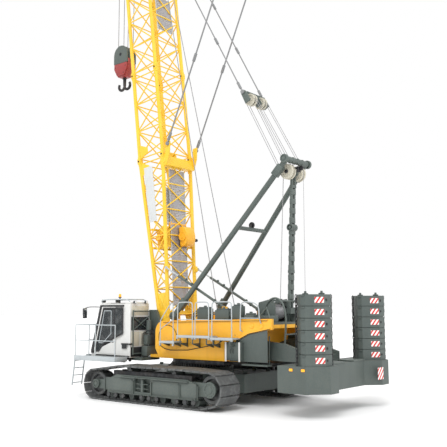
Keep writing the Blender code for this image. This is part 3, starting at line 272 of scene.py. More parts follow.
@dataclass(frozen=True)
class BareSteel(Surface):
    """Unpainted or worn steel: bright rubbed patches, brown dirt, fine scratches."""
    dark: Colour
    bright: Colour
    dirt: Colour = (0.16, 0.12, 0.085)
    dirt_share: float = 0.4
    roughness: float = 0.5
    metallic: float = 0.7

    def material(self) -> bpy.types.Material:
        """Build the steel's node tree.

        Returns:
            The material.
        """
        graph = Graph(self.name)
        rubbed = ((graph.noise(7.0, 6.0) - 0.45) * 3.0).clamped()
        tone = graph.mix(rubbed, self.dark, self.bright)
        caked = ((graph.noise(2.4, 7.0) - 0.46) * 4.0).clamped() * self.dirt_share
        tone = graph.mix(caked, tone, self.dirt)
        scratches = graph.noise(60.0, 4.0, stretch=(0.15, 1.0, 1.0))
        graph.bump(scratches * 0.5 + caked, 0.22, 0.006)
        return graph.set(Base_Color=tone, Roughness=(caked * 0.4 + scratches * 0.2 + self.roughness - 0.1).clamped(),
            Metallic=(1.0 - caked) * self.metallic)


@dataclass(frozen=True)
class WireRope(Surface):
    """Steel wire rope: strands laid in a helix, painted shade in the grooves between them, and grease patches."""
    colour: Colour = (0.34, 0.34, 0.35)
    lays: float = 24.0
    # depth: how far the grooves between strands are darkened, as painted shade
    depth: float = 0.45
    metallic: float = 0.35

    def material(self) -> bpy.types.Material:
        """Build the rope's node tree.

        Returns:
            The material.
        """
        graph = Graph(self.name)
        along, side, across = (graph.place.axis(name) for name in ('Z', 'X', 'Y'))
        strands = (along * self.lays + side * 40.0 + across * 40.0).fraction()
        # The grooves between strands are darkened towards black: painted shade, not grease.
        groove_shade = (strands > 0.78) * 1.0
        grease = graph.noise(9.0, 5.0)
        tone = graph.mix(((grease - 0.4) * 2.0).clamped(), self.colour, tuple((0.65 * part for part in self.colour)))
        tone = graph.mix(groove_shade * self.depth, tone, (0.06, 0.058, 0.055))
        graph.bump(1.0 - strands, 0.5, 0.004)
        return graph.set(Base_Color=tone, Roughness=grease * 0.3 + 0.4, Metallic=self.metallic)


@dataclass(frozen=True)
class Bands(Surface):
    """Red and white warning bands laid at a slope on a painted plate."""
    red: Colour = (0.62, 0.035, 0.03)
    white: Colour = (0.86, 0.86, 0.84)
    per_metre: float = 5.2

    def material(self) -> bpy.types.Material:
        """Build the bands' node tree.

        Returns:
            The material.
        """
        graph = Graph(self.name)
        slope = graph.place.axis('Y') + graph.place.axis('X') + graph.place.axis('Z')
        band = (slope * self.per_metre).fraction() > 0.5
        worn = (graph.noise(40.0, 6.0) > 0.68) * 0.5
        tone = graph.mix(worn, graph.mix(band, self.white, self.red), (0.3, 0.28, 0.26))
        graph.bump(graph.noise(120.0), 0.08, 0.002)
        return graph.set(Base_Color=tone, Roughness=graph.noise(12.0) * 0.3 + 0.35)


@dataclass(frozen=True)
class Glazing(Surface):
    """Tinted safety glass with faint dust."""
    tint: Colour = (0.5, 0.58, 0.58)
    through: float = 0.85
    cover: float = 0.62

    def material(self) -> bpy.types.Material:
        """Build the glass's node tree.

        Returns:
            The material.
        """
        graph = Graph(self.name)
        film = ((graph.noise(3.0, 6.0) - 0.45) * 2.0).clamped()
        return graph.set(Base_Color=graph.mix(film * 0.2, self.tint, (0.7, 0.7, 0.68)), Roughness=film * 0.16 + 0.03,
            Transmission_Weight=self.through, IOR=1.3, Alpha=self.cover + film * 0.1)


@dataclass(frozen=True)
class Weave(Surface):
    """Coarse seat cloth: crossed threads with a soft nap, raised threads painted lighter and the gaps between them
    painted darker.
    """
    colour: Colour = (0.055, 0.06, 0.07)
    threads: float = 240.0

    def material(self) -> bpy.types.Material:
        """Build the cloth's node tree.

        Returns:
            The material.
        """
        graph = Graph(self.name)
        warp = (graph.place.axis('Y') * self.threads).fraction()
        weft = ((graph.place.axis('X') + graph.place.axis('Z')) * self.threads).fraction()
        raised = (warp - 0.5) * (weft - 0.5) * 4.0 + 0.5
        nap = graph.noise(30.0, 6.0)
        # Colour follows the threads' height from a darker to a lighter copy of the cloth: painted highlight on raised
        # threads and painted shade between them, mixed with the nap's random tone.
        tone = graph.mix((raised * 0.5 + nap * 0.5).clamped(), tuple((0.5 * part for part in self.colour)),
            tuple((1.7 * part for part in self.colour)))
        graph.bump(raised, 0.4, 0.002)
        return graph.set(Base_Color=tone, Roughness=nap * 0.2 + 0.75, Sheen_Weight=0.3)


@dataclass(frozen=True)
class Mesh(Surface):
    """Walkway grating: bars with open squares between them."""
    colour: Colour = (0.44, 0.44, 0.48)
    pitch: float = 16.0
    open_share: float = 0.55

    def material(self) -> bpy.types.Material:
        """Build the grating's node tree.

        Returns:
            The material.
        """
        graph = Graph(self.name)
        bars = [(graph.place.axis(name) * self.pitch).fraction() > self.open_share for name in ('X', 'Y', 'Z')]
        solid = (bars[1] + bars[2] + bars[0]).clamped()
        dirt = graph.noise(8.0, 6.0)
        return graph.set(Base_Color=graph.mix((dirt - 0.2).clamped(), self.colour, DUST), Roughness=dirt * 0.3 + 0.4,
            Metallic=0.5, Alpha=solid * 0.4 + 0.35)


@dataclass(frozen=True)
class Lens(Surface):
    """Moulded lamp lens or dark plastic, with ribs and a faint glow."""
    colour: Colour
    glow: float = 0.0
    roughness: float = 0.25
    metallic: float = 0.0

    def material(self) -> bpy.types.Material:
        """Build the lens's node tree.

        Returns:
            The material.
        """
        graph = Graph(self.name)
        ribs = (graph.place.axis('Z') * 70.0).fraction()
        haze = graph.noise(14.0, 5.0)
        graph.bump(ribs * 0.6 + haze * 0.4, 0.1, 0.002)
        return graph.set(Base_Color=graph.mix(haze, self.colour, tuple((0.7 * part for part in self.colour))),
            Roughness=haze * 0.15 + self.roughness, Metallic=self.metallic, Emission_Color=self.colour,
            Emission_Strength=self.glow)


class Finish(Enum):
    """Every finish on the crane."""
    BOOM = Paint('boom_yellow_paint', 'boom_yellow', (0.88, 0.54, 0.022), (0.92, 0.62, 0.06), dust=0.16)
    FRAME = Paint('frame_yellow_paint', 'frame_yellow', (0.93, 0.45, 0.018), (0.95, 0.52, 0.045), dust=0.18)
    GREY = Paint('frame_grey_paint', 'frame_grey', (0.072, 0.094, 0.086), (0.104, 0.13, 0.118), 0.5, 0.25)
    SLAB = Paint('slab_grey_paint', 'frame_grey', (0.066, 0.086, 0.08), (0.098, 0.12, 0.11), 0.6, 0.2)
    TRACK = BareSteel('track_shoe_steel', 'track_steel', (0.105, 0.11, 0.11), (0.2, 0.206, 0.204),
        (0.15, 0.146, 0.138), 0.25, 0.6, 0.35)
    WHEEL = BareSteel('wheel_steel', 'track_steel', (0.085, 0.09, 0.092), (0.15, 0.155, 0.152), (0.15, 0.14, 0.125),
        0.3, 0.55, 0.4)
    WHITE = Paint('cab_white_paint', 'cab_white', (0.72, 0.72, 0.7), (0.64, 0.645, 0.63), 0.34, 0.22)
    SIGN = Paint('sign_panel_paint', 'cab_white', (0.62, 0.64, 0.64), (0.55, 0.57, 0.57), 0.45, 0.12)
    CREAM = Paint('sheave_cream_paint', 'cab_white', (0.6, 0.57, 0.47), (0.52, 0.49, 0.4), 0.5, 0.3)
    RAIL = Paint('rail_grey_paint', 'rail_grey', (0.42, 0.46, 0.48), (0.5, 0.54, 0.55), 0.42, 0.22)
    DARK = BareSteel('dark_steel', 'dark_steel', (0.03, 0.031, 0.034), (0.085, 0.087, 0.09), dirt_share=0.15)
    RED = Paint('hook_red_paint', 'hook_red', (0.3, 0.028, 0.028), (0.36, 0.05, 0.045), 0.45, 0.25)
    GLASS = Glazing('cab_glass', 'glass')
    SCREEN = Glazing('dark_tinted_glass', 'glass', (0.035, 0.042, 0.045), 0.1, 0.84)
    STAY = Paint('pendant_grey_paint', 'dark_steel', (0.2, 0.205, 0.21), (0.26, 0.265, 0.27), 0.5, 0.15)
    CLOTH = Weave('seat_cloth', 'seat_fabric')
    ROPE = WireRope('wire_rope', 'dark_steel')
    WARNING = Bands('warning_bands', 'hook_red')
    GRATING = Mesh('walkway_grating', 'rail_grey')
    AMBER = Lens('amber_lens', 'boom_yellow', (0.95, 0.4, 0.02), 0.6)
    LAMP = Lens('clear_lens', 'glass', (0.75, 0.77, 0.78), 0.15, 0.12)
    PLASTIC = Lens('black_moulding', 'dark_steel', (0.02, 0.021, 0.023), roughness=0.45)
    MIRROR = Lens('mirror_glass', 'glass', (0.7, 0.73, 0.75), roughness=0.03, metallic=1.0)


class Looks:
    """The materials, each made once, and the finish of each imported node."""
    NODES: dict[Finish, str] = {Finish.BOOM: 'boom_ fly_jib', Finish.FRAME: 'main_frame jib_winch',
        Finish.SLAB: 'left_counterweight_stack right_counterweight_stack counterweight_base carbody_ballast',
        Finish.TRACK: 'left_track right_track', Finish.WHEEL: 'left_sprocket right_sprocket left_idler right_idler',
        Finish.WHITE: 'cab_shell cab_door', Finish.CREAM: 'mast_head_sheaves boom_head_sheaves',
        Finish.RAIL: 'left_walkway cab_platform ladder backstop_rod',
        Finish.DARK: 'slewing_ring engine_block hoist_winch luffing_winch',
        Finish.STAY: 'rear_stay front_stay main_pendant', Finish.RED: 'hook_block', Finish.GLASS: 'windscreen',
        Finish.CLOTH: 'operator_seat'}

    def __init__(self) -> None:
        """Start with no material made."""
        self.made: dict[Finish, bpy.types.Material] = {}

    def of(self, finish: Finish) -> bpy.types.Material:
        """The material of a finish.

        Args:
            finish: Its material.

        Returns:
            The material.
        """
        if finish not in self.made:
            self.made[finish] = finish.value.material()
        return self.made[finish]

    def node_finish(self, name: str) -> Finish:
        """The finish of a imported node, by the longest start of its name that is listed.

        Args:
            name: The piece's name.

        Returns:
            The finish.
        """
        found = [(len(start), finish) for finish, starts in self.NODES.items() for start in starts.split()
            if name.startswith(start)]
        if name == 'hook' or not found:
            return Finish.DARK if name == 'hook' else Finish.GREY
        if name.endswith('_track_frame'):
            return Finish.GREY
        return max(found, key=lambda pair: pair[0])[1]

    def dress_nodes(self, nodes: dict[str, Piece]) -> None:
        """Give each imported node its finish.

        Args:
            nodes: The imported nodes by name.
        """
        for name, node in sorted(nodes.items()):
            for slot in node.material_slots:
                slot.material = self.of(self.node_finish(name))
        LOG.info('dressed %d packed nodes', len(nodes))


# ================================================================ modelling bench
class Bench:
    """Where pieces are modelled: primitives are placed, shaped in edit mode, copied and joined."""

    def __init__(self, looks: Looks, home: Matrix) -> None:
        """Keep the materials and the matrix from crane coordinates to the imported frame.

        Args:
            looks: The materials.
            home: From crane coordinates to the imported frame.
        """
        self.looks = looks
        self.home = home
        bpy.context.tool_settings.mesh_select_mode = (False, False, True)

    @staticmethod
    def clear() -> None:
        """Deselect everything, so that an operator acts on the new primitive alone."""
        bpy.ops.object.select_all(action='DESELECT')

    @staticmethod
    def settle() -> Piece:
        """Apply the active object's place to its mesh and return it."""
        bpy.ops.object.transform_apply(location=True, rotation=True, scale=True)
        return bpy.context.object

    @staticmethod
    def pick(item: Piece, test: Callable[[bpy.types.MeshPolygon], bool]) -> None:
        """Enter edit mode with the faces that pass a test selected.

        Args:
            item: The shape.
            test: Says which faces are wanted.
        """
        for group in (item.data.vertices, item.data.edges, item.data.polygons):
            group.foreach_set('select', [False] * len(group))
        for face in item.data.polygons:
            face.select = test(face)
        bpy.ops.object.mode_set(mode='EDIT')

    @staticmethod
    def done() -> None:
        """Leave edit mode."""
        bpy.ops.object.mode_set(mode='OBJECT')

    def bevelled(self, item: Piece, width: float, segments: int=2) -> Piece:
        """Round the sharp edges with an applied Bevel modifier.

        Args:
            item: The shape.
            width: Width of the rounding.
            segments: Steps of the rounding.

        Returns:
            The finished shape.
        """
        if width:
            step = item.modifiers.new('edge', 'BEVEL')
            step.width = width
            step.segments = segments
            step.limit_method = 'ANGLE'
            bpy.ops.object.modifier_apply(modifier=step.name)
        return item

    def block(self, low: Point, high: Point, edge: float=0.008) -> Piece:
        """A box between any two opposite corners, with rounded edges.

        Args:
            low: The lowest corner or the first value.
            high: The highest corner or the second value.
            edge: Rounding of the edges.

        Returns:
            The finished shape.
        """
        self.clear()
        middle = [(a + b) / 2 for a, b in zip(low, high)]
        bpy.ops.mesh.primitive_cube_add(size=1.0, location=middle, scale=[abs(b - a) for a, b in zip(low, high)])
        return self.bevelled(self.settle(), edge)

    def tube(self, start: Point, end: Point, radius: float, sides: int=12, tip: float | None=None,
            rim: float=0.18) -> Piece:
        """A round bar between two points, with its rims rounded.

        Args:
            start: Middle of the first end.
            end: Middle of the second end.
            radius: At the first end.
            sides: Faces round it.
            tip: Radius at the second end, where it differs.
            rim: Rounding of the rims, as a share of the radius.

        Returns:
            The bar.
        """
        self.clear()
        line = Vector(end) - Vector(start)
        middle = (Vector(start) + Vector(end)) / 2
        bpy.ops.mesh.primitive_cone_add(vertices=sides, radius1=radius, radius2=radius if tip is None else tip,
            depth=line.length, location=middle, rotation=line.to_track_quat('Z', 'Y').to_euler())
        item = self.settle()
        if rim:
            way = line.normalized()
            self.pick(item, lambda face: abs(face.normal.dot(way)) > 0.99)
            bpy.ops.mesh.bevel(offset=rim * radius, segments=1)
            self.done()
        return item

    def wheel(self, start: Point, end: Point, radius: float, web: float=0.62, hub: float=0.28,
            sides: int=32) -> Piece:
        """A wheel or flange: its faces are inset and sunk to leave a rim and a hub.

        Args:
            start: Where it starts.
            end: Where it ends.
            radius: Its radius.
            web: Where the rim ends, as a share of the radius.
            hub: The hub's share of the radius.
            sides: Faces round it.

        Returns:
            The finished shape.
        """
        item = self.tube(start, end, radius, sides, rim=0.04)
        line = Vector(end) - Vector(start)
        way = line.normalized()
        middle = (Vector(start) + Vector(end)) / 2
        for spot in (start, end):
            side = (Vector(spot) - middle).normalized()
            self.pick(item, lambda face, side=side: face.normal.dot(side) > 0.99 and (face.center - middle).cross(
                way).length < radius * 0.3)
            bpy.ops.mesh.inset(thickness=radius * (1.0 - web) * 0.55, depth=0.0)
            bpy.ops.mesh.inset(thickness=radius * 0.05, depth=-line.length * 0.22)
            bpy.ops.mesh.inset(thickness=radius * (web - hub) * 0.75, depth=0.0)
            bpy.ops.mesh.inset(thickness=radius * 0.04, depth=line.length * 0.2)
            self.done()
        return item

    def plate(self, outline: Sequence[Point], low: float, high: float, axis: str='Y', edge: float=0.006) -> Piece:
        """A flat shape extruded: (x, z) along Y, (y, z) along X or (x, y) along Z.

        Args:
            outline: Its corners, in order.
            low: The lowest corner or the first value.
            high: The highest corner or the second value.
            axis: The axis it is laid across.
            edge: Rounding of the edges.

        Returns:
            The finished shape.
        """
        self.clear()
        bpy.ops.mesh.primitive_circle_add(vertices=len(outline), radius=1.0, fill_type='NGON')
        item = bpy.context.object
        order = {'Y': (0, 2, 1), 'X': (1, 2, 0), 'Z': (0, 1, 2)}[axis]
        for vertex, (a, b) in zip(item.data.vertices, outline):
            vertex.co[order[0]], vertex.co[order[1]], vertex.co[order[2]] = (a, b, low)
        shift = [0.0, 0.0, 0.0]
        shift[order[2]] = high - low
        self.pick(item, lambda face: True)
        bpy.ops.mesh.extrude_region_move(TRANSFORM_OT_translate={'value': shift})
        bpy.ops.mesh.select_all(action='SELECT')
        bpy.ops.mesh.normals_make_consistent(inside=False)
        self.done()
        return self.bevelled(item, edge)

    def line(self, points: Sequence[Point], radius: float, sides: int=4, smooth: bool=True) -> Piece:
        """A round bar or rope along points, its ends closed.

        Args:
            points: The points that it follows.
            radius: Its radius.
            sides: Faces round it.
            smooth: Whether it is a smooth curve.

        Returns:
            The finished shape.
        """
        curve = bpy.data.curves.new('line', 'CURVE')
        curve.dimensions = '3D'
        curve.bevel_depth = radius
        curve.bevel_resolution = sides
        curve.use_fill_caps = True
        curve.resolution_u = 6
        spline = curve.splines.new('NURBS' if smooth else 'POLY')
        spline.points.add(len(points) - 1)
        for knot, point in zip(spline.points, points):
            knot.co = (*point, 1.0)
        spline.use_endpoint_u = True
        spline.order_u = 3
        item = bpy.data.objects.new('line', curve)
        bpy.context.scene.collection.objects.link(item)
        self.clear()
        item.select_set(True)
        bpy.context.view_layer.objects.active = item
        bpy.ops.object.convert(target='MESH')
        self.pick(item, lambda face: True)
        bpy.ops.mesh.remove_doubles(threshold=5e-05)
        bpy.ops.mesh.normals_make_consistent(inside=False)
        self.done()
        return bpy.context.object

    def rope(self, start: Point, end: Point, radius: float, sag: float=0.0, steps: int=40) -> Piece:
        """A taut rope in many short lengths, with a slight sag.

        Args:
            start: Where it starts.
            end: Where it ends.
            radius: Its radius.
            sag: Its sag in the middle.
            steps: How many lengths it has.

        Returns:
            The finished shape.
        """
        a, b = (Vector(start), Vector(end))
        points = []
        for step in range(steps + 1):
            share = step / steps
            points.append(a.lerp(b, share) - Vector((0.0, 0.0, 4.0 * sag * share * (1.0 - share))))
        return self.line(points, radius, sides=2, smooth=False)

    def copies(self, item: Piece, places: Iterable[Matrix]) -> list[Piece]:
        """Copies of a shape, each with its own mesh; the first shape is used up.

        Args:
            item: The shape.
            places: Where each copy stands.

        Returns:
            The shapes.
        """
        made = []
        for place in places:
            twin = item.copy()
            twin.data = item.data.copy()
            twin.data.transform(place)
            bpy.context.scene.collection.objects.link(twin)
            made.append(twin)
        bpy.data.objects.remove(item)
        return made

    def shifted(self, item: Piece, offsets: Iterable[Point]) -> list[Piece]:
        """Copies of a shape at offsets from where it was modelled."""
        return self.copies(item, [Matrix.Translation(offset) for offset in offsets])

    def both_sides(self, item: Piece) -> list[Piece]:
        """A shape and its mirror image across the centre plane.

        Args:
            item: The shape.

        Returns:
            The shapes.
        """
        twins = self.copies(item, (Matrix.Identity(4), Matrix.Scale(-1.0, 4, (0.0, 1.0, 0.0))))
        twins[1].data.flip_normals()
        return twins

    def dress(self, name: str, parts: Piece | list[Piece], finish: Finish, body: str, *replaced: str,
            frame: Matrix | None=None, blend: tuple[str, Point, Point] | None=None, smooth: float=38.0) -> Piece:
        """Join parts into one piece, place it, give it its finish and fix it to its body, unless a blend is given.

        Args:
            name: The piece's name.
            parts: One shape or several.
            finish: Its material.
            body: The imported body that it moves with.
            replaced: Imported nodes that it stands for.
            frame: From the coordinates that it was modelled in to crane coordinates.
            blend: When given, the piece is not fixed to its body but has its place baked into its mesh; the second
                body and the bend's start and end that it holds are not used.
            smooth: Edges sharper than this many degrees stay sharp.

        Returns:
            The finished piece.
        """
        parts = parts if isinstance(parts, list) else [parts]
        self.clear()
        for part in parts:
            part.select_set(True)
        bpy.context.view_layer.objects.active = parts[0]
        if len(parts) > 1:
            bpy.ops.object.join()
        item = parts[0]
        item.name = item.data.name = name
        item.data.transform(self.home @ (frame or Matrix.Identity(4)))
        bpy.ops.object.shade_smooth_by_angle(angle=math.radians(smooth))
        item.data.materials.clear()
        item.data.materials.append(self.looks.of(finish))
        if blend:
            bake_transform(item)
        else:
            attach(item, body)
        if replaced:
            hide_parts(*replaced)
        LOG.info('%s on %s: %d faces', name, body, len(item.data.polygons))
        return item


def frange(start: float, stop: float, count: int) -> list[float]:
    """Evenly spaced values, both ends included."""
    return [start + (stop - start) * n / (count - 1) for n in range(count)]


# ================================================================ lattice boom and jib
@dataclass
class Lattice:
    """A four-chord lattice along X, laced with crossed tubes on every face."""
    start: float
    end: float
    depths: tuple[float, float]
    width: float
    bays: int
    chord: float = 0.075
    lacing: float = 0.027

    def corner(self, x: float) -> list[Vector]:
        """The four chord centres at a station.

        Args:
            x: A place along the piece.

        Returns:
            The points.
        """
        share = (x - self.start) / (self.end - self.start)
        half = (self.depths[0] + (self.depths[1] - self.depths[0]) * share) / 2
        wide = self.width / 2
        return [Vector((x, y, z)) for y, z in ((wide, half), (-wide, half), (-wide, -half), (wide, -half))]

    def build(self, bench: Bench) -> list[Piece]:
        """Model the chords, end sleeves, cross tubes and crossed diagonals.

        Args:
            bench: Where it is modelled.

        Returns:
            The shapes.
        """
        ends = (self.corner(self.start), self.corner(self.end))
        parts = [bench.tube(a, b, self.chord, 16) for a, b in zip(*ends)]
        for a, b in zip(*ends):
            way = (b - a).normalized()
            parts.append(bench.tube(a, a + way * 0.2, self.chord * 1.18, 16))
            parts.append(bench.tube(b - way * 0.2, b, self.chord * 1.18, 16))
        stations = frange(self.start + 0.12, self.end - 0.12, self.bays + 1)
        pairs = []
        for number, x in enumerate(stations):
            here = self.corner(x)
            pairs += [(here[side], here[(side + 1) % 4]) for side in range(4)]
            if number < self.bays:
                there = self.corner(stations[number + 1])
                for side in range(4):
                    after = (side + 1) % 4
                    pairs += [(here[side], there[after]), (here[after], there[side])]
        stick = bench.tube((0, 0, 0), (0, 0, 1), self.lacing, 10, rim=0.0)
        places = []
        for a, b in pairs:
            line = b - a
            a, b = (a + line.normalized() * self.chord * 0.8, b - line.normalized() * self.chord * 0.8)
            turn = (b - a).to_track_quat('Z', 'Y').to_matrix().to_4x4()
            places.append(Matrix.Translation(a) @ turn @ Matrix.Diagonal((1.0, 1.0, (b - a).length, 1.0)))
        return parts + bench.copies(stick, places)


@dataclass
class Boom:
    """Foot section, two inserts, head section, fly jib, strut and what is fixed to them."""
    bench: Bench
    frame: Matrix
    depth: float = 1.3
    width: float = 1.64
    foot_depth: float = 0.34
    foot: float = 7.36
    insert: float = 3.76
    head: float = 3.72
    shaft: tuple[float, float] = (18.2, -1.25)
    winch: float = 4.05
    jib: float = 8.0
    jib_drop: float = math.radians(20.0)
    strut: float = 6.4
    strut_lean: float = math.radians(98.0)

    @property
    def length(self) -> float:
        """From the foot pins to the head's end."""
        return self.foot + 2 * self.insert + self.head

    def dress(self, name: str, parts: Piece | list[Piece], finish: Finish, *replaced: str) -> Piece:
        """Dress a piece that was modelled in boom coordinates."""
        return self.bench.dress(name, parts, finish, 'boom', *replaced, frame=self.frame)

    def half_depth(self, x: float) -> float:
        """Half the depth between chord centres, at a place along the boom."""
        return (self.foot_depth + (self.depth - self.foot_depth) * min(x / self.foot, 1.0)) / 2

    def foot_section(self) -> None:
        """Tapered section with its foot plates, backstop eyes, stay lugs and cross boxes."""
        bench, wide = (self.bench, self.width / 2)
        low = self.half_depth(0.85)
        parts = Lattice(0.85, self.foot - 0.0002, (2 * low, self.depth), self.width, 6).build(bench)
        sides = [bench.plate([(-0.14, -0.1), (-0.06, -0.17), (1.15, -low - 0.09), (1.15, low + 0.09), (-0.06, 0.17),
            (-0.14, 0.1)], wide - 0.065, wide + 0.065, edge=0.015), bench.wheel((0, wide - 0.18, 0),
            (0, wide + 0.17, 0), 0.088, sides=24), bench.tube((0, wide - 0.075, 0), (0, wide + 0.075, 0), 0.165, 28)]
        eye = (2.76, self.half_depth(2.76) + 0.1)
        sides.append(bench.plate([(eye[0] - 0.18, eye[1] - 0.16), (eye[0] + 0.18, eye[1] - 0.12),
            (eye[0] + 0.1, eye[1] + 0.06), (eye[0] - 0.1, eye[1] + 0.06)], wide - 0.05, wide + 0.05))
        sides.append(bench.plate([(6.8, 0.5), (7.28, 0.5), (7.34, 0.8), (7.8, 0.9), (7.8, 1.1), (7.3, 1.02),
            (6.9, 0.84)], wide - 0.03, wide + 0.03))
        sides.append(bench.tube((7.08, wide - 0.05, 0.68), (7.08, wide + 0.05, 0.68), 0.11, 20))
        for part in sides:
            parts += bench.both_sides(part)
        parts.append(bench.block((6.86, -wide - 0.02, 0.52), (7.26, wide + 0.02, 0.84), 0.02))
        parts.append(bench.block((0.95, -wide, -0.1), (1.1, wide, 0.1)))
        for x in (self.winch - 0.38, self.winch + 0.38):
            for z in (0.3, -0.32):
                parts.append(bench.block((x - 0.04, -wide, z - 0.04), (x + 0.04, wide, z + 0.04)))
        parts += bench.both_sides(bench.plate([(self.winch - 0.42, -0.3), (self.winch - 0.28, -0.38),
            (self.winch + 0.28, -0.38), (self.winch + 0.42, -0.3), (self.winch + 0.42, 0.34),
            (self.winch - 0.42, 0.34)], 0.402, 0.455))
        self.dress('foot_section_lattice', parts, Finish.BOOM, 'boom_foot_section')

    def sections(self) -> None:
        """The two straight inserts and the head section."""
        bench, start = (self.bench, self.foot)
        for name in ('lower', 'upper'):
            parts = Lattice(start + 0.0002, start + self.insert - 0.0002, (self.depth, self.depth), self.width,
                3).build(bench)
            self.dress(f'insert_{name}_lattice', parts, Finish.BOOM, 'boom_insert_' + name)
            start += self.insert
        end, wide, top = (self.length - 0.3, self.width / 2, self.length)
        parts = Lattice(start + 0.0002, end, (self.depth, 0.95), self.width, 3).build(bench)
        x, z = self.shaft
        for part in (bench.plate([(end - 1.1, -0.66), (end - 0.2, -0.4), (top + 0.2, -0.36), (top + 0.45, -0.12),
                (top + 0.45, 0.12), (top + 0.25, 0.86), (top - 0.05, 0.9), (end - 0.5, 0.6), (end - 0.9, 0.4),
                (end - 1.1, 0.4)], wide - 0.05, wide + 0.05, edge=0.012),
                bench.plate([(end - 1.3, -0.5), (x - 0.3, z - 0.06), (x, z - 0.16), (x + 0.16, z), (top - 0.1, -0.3),
                (end - 0.2, 0.4), (end - 0.5, 0.4)], 0.375, 0.425),
                bench.plate([(top - 0.55, 0.4), (top - 0.1, 0.4), (top - 0.2, 1.0), (top - 0.45, 1.0)], 0.682,
                0.74)):
            parts += bench.both_sides(part)
        for a, b in ((end - 0.3, 0.36), (end - 0.45, -0.45), (top + 0.1, -0.05)):
            parts.append(bench.block((a - 0.09, -wide, b - 0.09), (a + 0.09, wide, b + 0.09), 0.012))
        parts.append(bench.block((top - 0.5, -wide, 0.42), (top - 0.15, wide, 0.6), 0.012))
        self.dress('head_section_lattice', parts, Finish.BOOM, 'boom_head_section')

    def joint_pins(self) -> None:
        """Pin heads and fork cheeks on every chord where two sections meet."""
        bench, pins, forks = (self.bench, [], [])
        for x in (self.foot, self.foot + self.insert, self.foot + 2 * self.insert):
            for z in (self.depth / 2, -self.depth / 2):
                for y in (self.width / 2, -self.width / 2):
                    pins.append(bench.tube((x, y - 0.118, z), (x, y + 0.118, z), 0.036, 14))
                    for side in (-1, 1):
                        forks.append(bench.block((x - 0.12, y + side * 0.045, z - 0.08), (x + 0.12, y + side * 0.094,
                            z + 0.08), 0.02))
        self.dress('section_joint_pins', pins, Finish.DARK)
        self.dress('section_joint_forks', forks, Finish.BOOM)

    def panels(self) -> None:
        """Blank sign panel, plating, walkway and the boxes that the foot section carries."""
        bench, wide = (self.bench, self.width / 2)
        outer = wide + 0.035
        self.dress('blank_sign_panel', [bench.plate([(4.72, -0.34), (7.02, -0.42), (7.02, 0.06), (4.72, 0.06)], outer,
            outer + 0.022, edge=0.008)], Finish.SIGN)
        gussets = []
        for x in (6.98, 7.74):
            gussets.append(bench.plate([(x - 0.3, -0.56), (x + 0.3, -0.56), (x + 0.1, -0.12), (x - 0.1, -0.12)],
                outer, outer + 0.016, edge=0.005))
        parts = []
        for part in gussets:
            parts += bench.both_sides(part)
        self.dress('joint_gusset_plates', parts, Finish.BOOM)
        plating = [bench.plate([(1.1, -self.half_depth(1.1) + 0.02), (1.82, -self.half_depth(1.8) + 0.02),
            (1.82, self.half_depth(1.8) - 0.02), (1.1, self.half_depth(1.1) - 0.02)], wide - 0.012, wide + 0.012,
            edge=0.004)]
        self.dress('foot_side_plating', bench.both_sides(plating[0]), Finish.BOOM)
        rails, treads, grates = ([], [], [])
        for start, stop in ((1.3, 6.8), (13.0, 14.5)):
            low, high = (self.half_depth(start) - 0.04, self.half_depth(stop) - 0.04)
            for y in (-0.44, 0.44):
                rails.append(bench.tube((start, y, low), (stop, y, high), 0.02, 8, rim=0.0))
            count = int((stop - start) / 0.1)
            tread = bench.block((-0.01, -0.44, -0.008), (0.01, 0.44, 0.008), 0.0)
            treads += bench.shifted(tread, [(start + 0.1 * n, 0.0, low + (high - low) * n / count)
                for n in range(count + 1)])
            grates.append(bench.plate([(start, low + 0.01), (stop, high + 0.01), (stop, high + 0.016),
                (start, low + 0.016)], -0.43, 0.43, edge=0.0))
        self.dress('boom_walkway', rails + treads, Finish.RAIL)
        self.dress('boom_walkway_grating', grates, Finish.GRATING)
        ribs = [bench.block((4.55, 0.2, 0.26), (6.1, 0.56, 0.32), 0.01)]
        ribs += bench.shifted(bench.block((4.6, 0.22, 0.32), (4.63, 0.54, 0.35), 0.006),
            [(0.125 * n, 0, 0) for n in range(12)])
        self.dress('ribbed_guard_panel', ribs, Finish.SIGN)

    def winch_parts(self) -> None:
        """Rope on the boom's own winch, its motor and the guide roller above it."""
        bench, x = (self.bench, self.winch)
        motor = [bench.wheel((x, 0.46, 0.0), (x, 0.66, 0.0), 0.19), bench.tube((x, 0.64, 0.0), (x, 0.8, 0.0), 0.12,
            20), bench.block((x - 0.1, 0.58, -0.2), (x + 0.1, 0.74, -0.1), 0.02)]
        self.dress('boom_winch_motor', motor, Finish.FRAME)
        shield = [(x + 0.4 * math.cos(a), 0.62 + 0.22 * math.sin(a)) for a in frange(0.0, math.pi, 13)]
        casing = [bench.plate([(x - 0.4, 0.45), *shield[::-1], (x + 0.4, 0.45)][::-1], -0.52, 0.02, edge=0.02),
            bench.wheel((x, 0.02, 0.63), (x, 0.07, 0.63), 0.19)]
        self.dress('boom_winch_casing', casing, Finish.FRAME)
        stub = [bench.tube((x - 0.12, -0.52, 0.62), (x - 0.12, -0.84, 0.62), 0.065, 16),
            bench.block((x - 0.38, -0.5, 0.4), (x + 0.3, -0.02, 0.455), 0.012)]
        self.dress('boom_winch_stub', stub, Finish.DARK)
        guide = [bench.tube((x + 0.52, -0.42, 0.4), (x + 0.52, 0.42, 0.4), 0.05, 16),
            *bench.both_sides(bench.plate([(x + 0.36, 0.26), (x + 0.6, 0.34), (x + 0.6, 0.46), (x + 0.46, 0.46)],
            0.41, 0.45))]
        self.dress('boom_winch_guide', guide, Finish.FRAME)
        rings = bench.shifted(bench.tube((x, -0.335, 0.0), (x, -0.301, 0.0), 0.222, 20, rim=0.05),
            [(0.0, 0.0352 * n, 0.0) for n in range(19)])
        bench.dress('boom_winch_rope', rings, Finish.ROPE, 'jib_winch_drum', frame=self.frame)

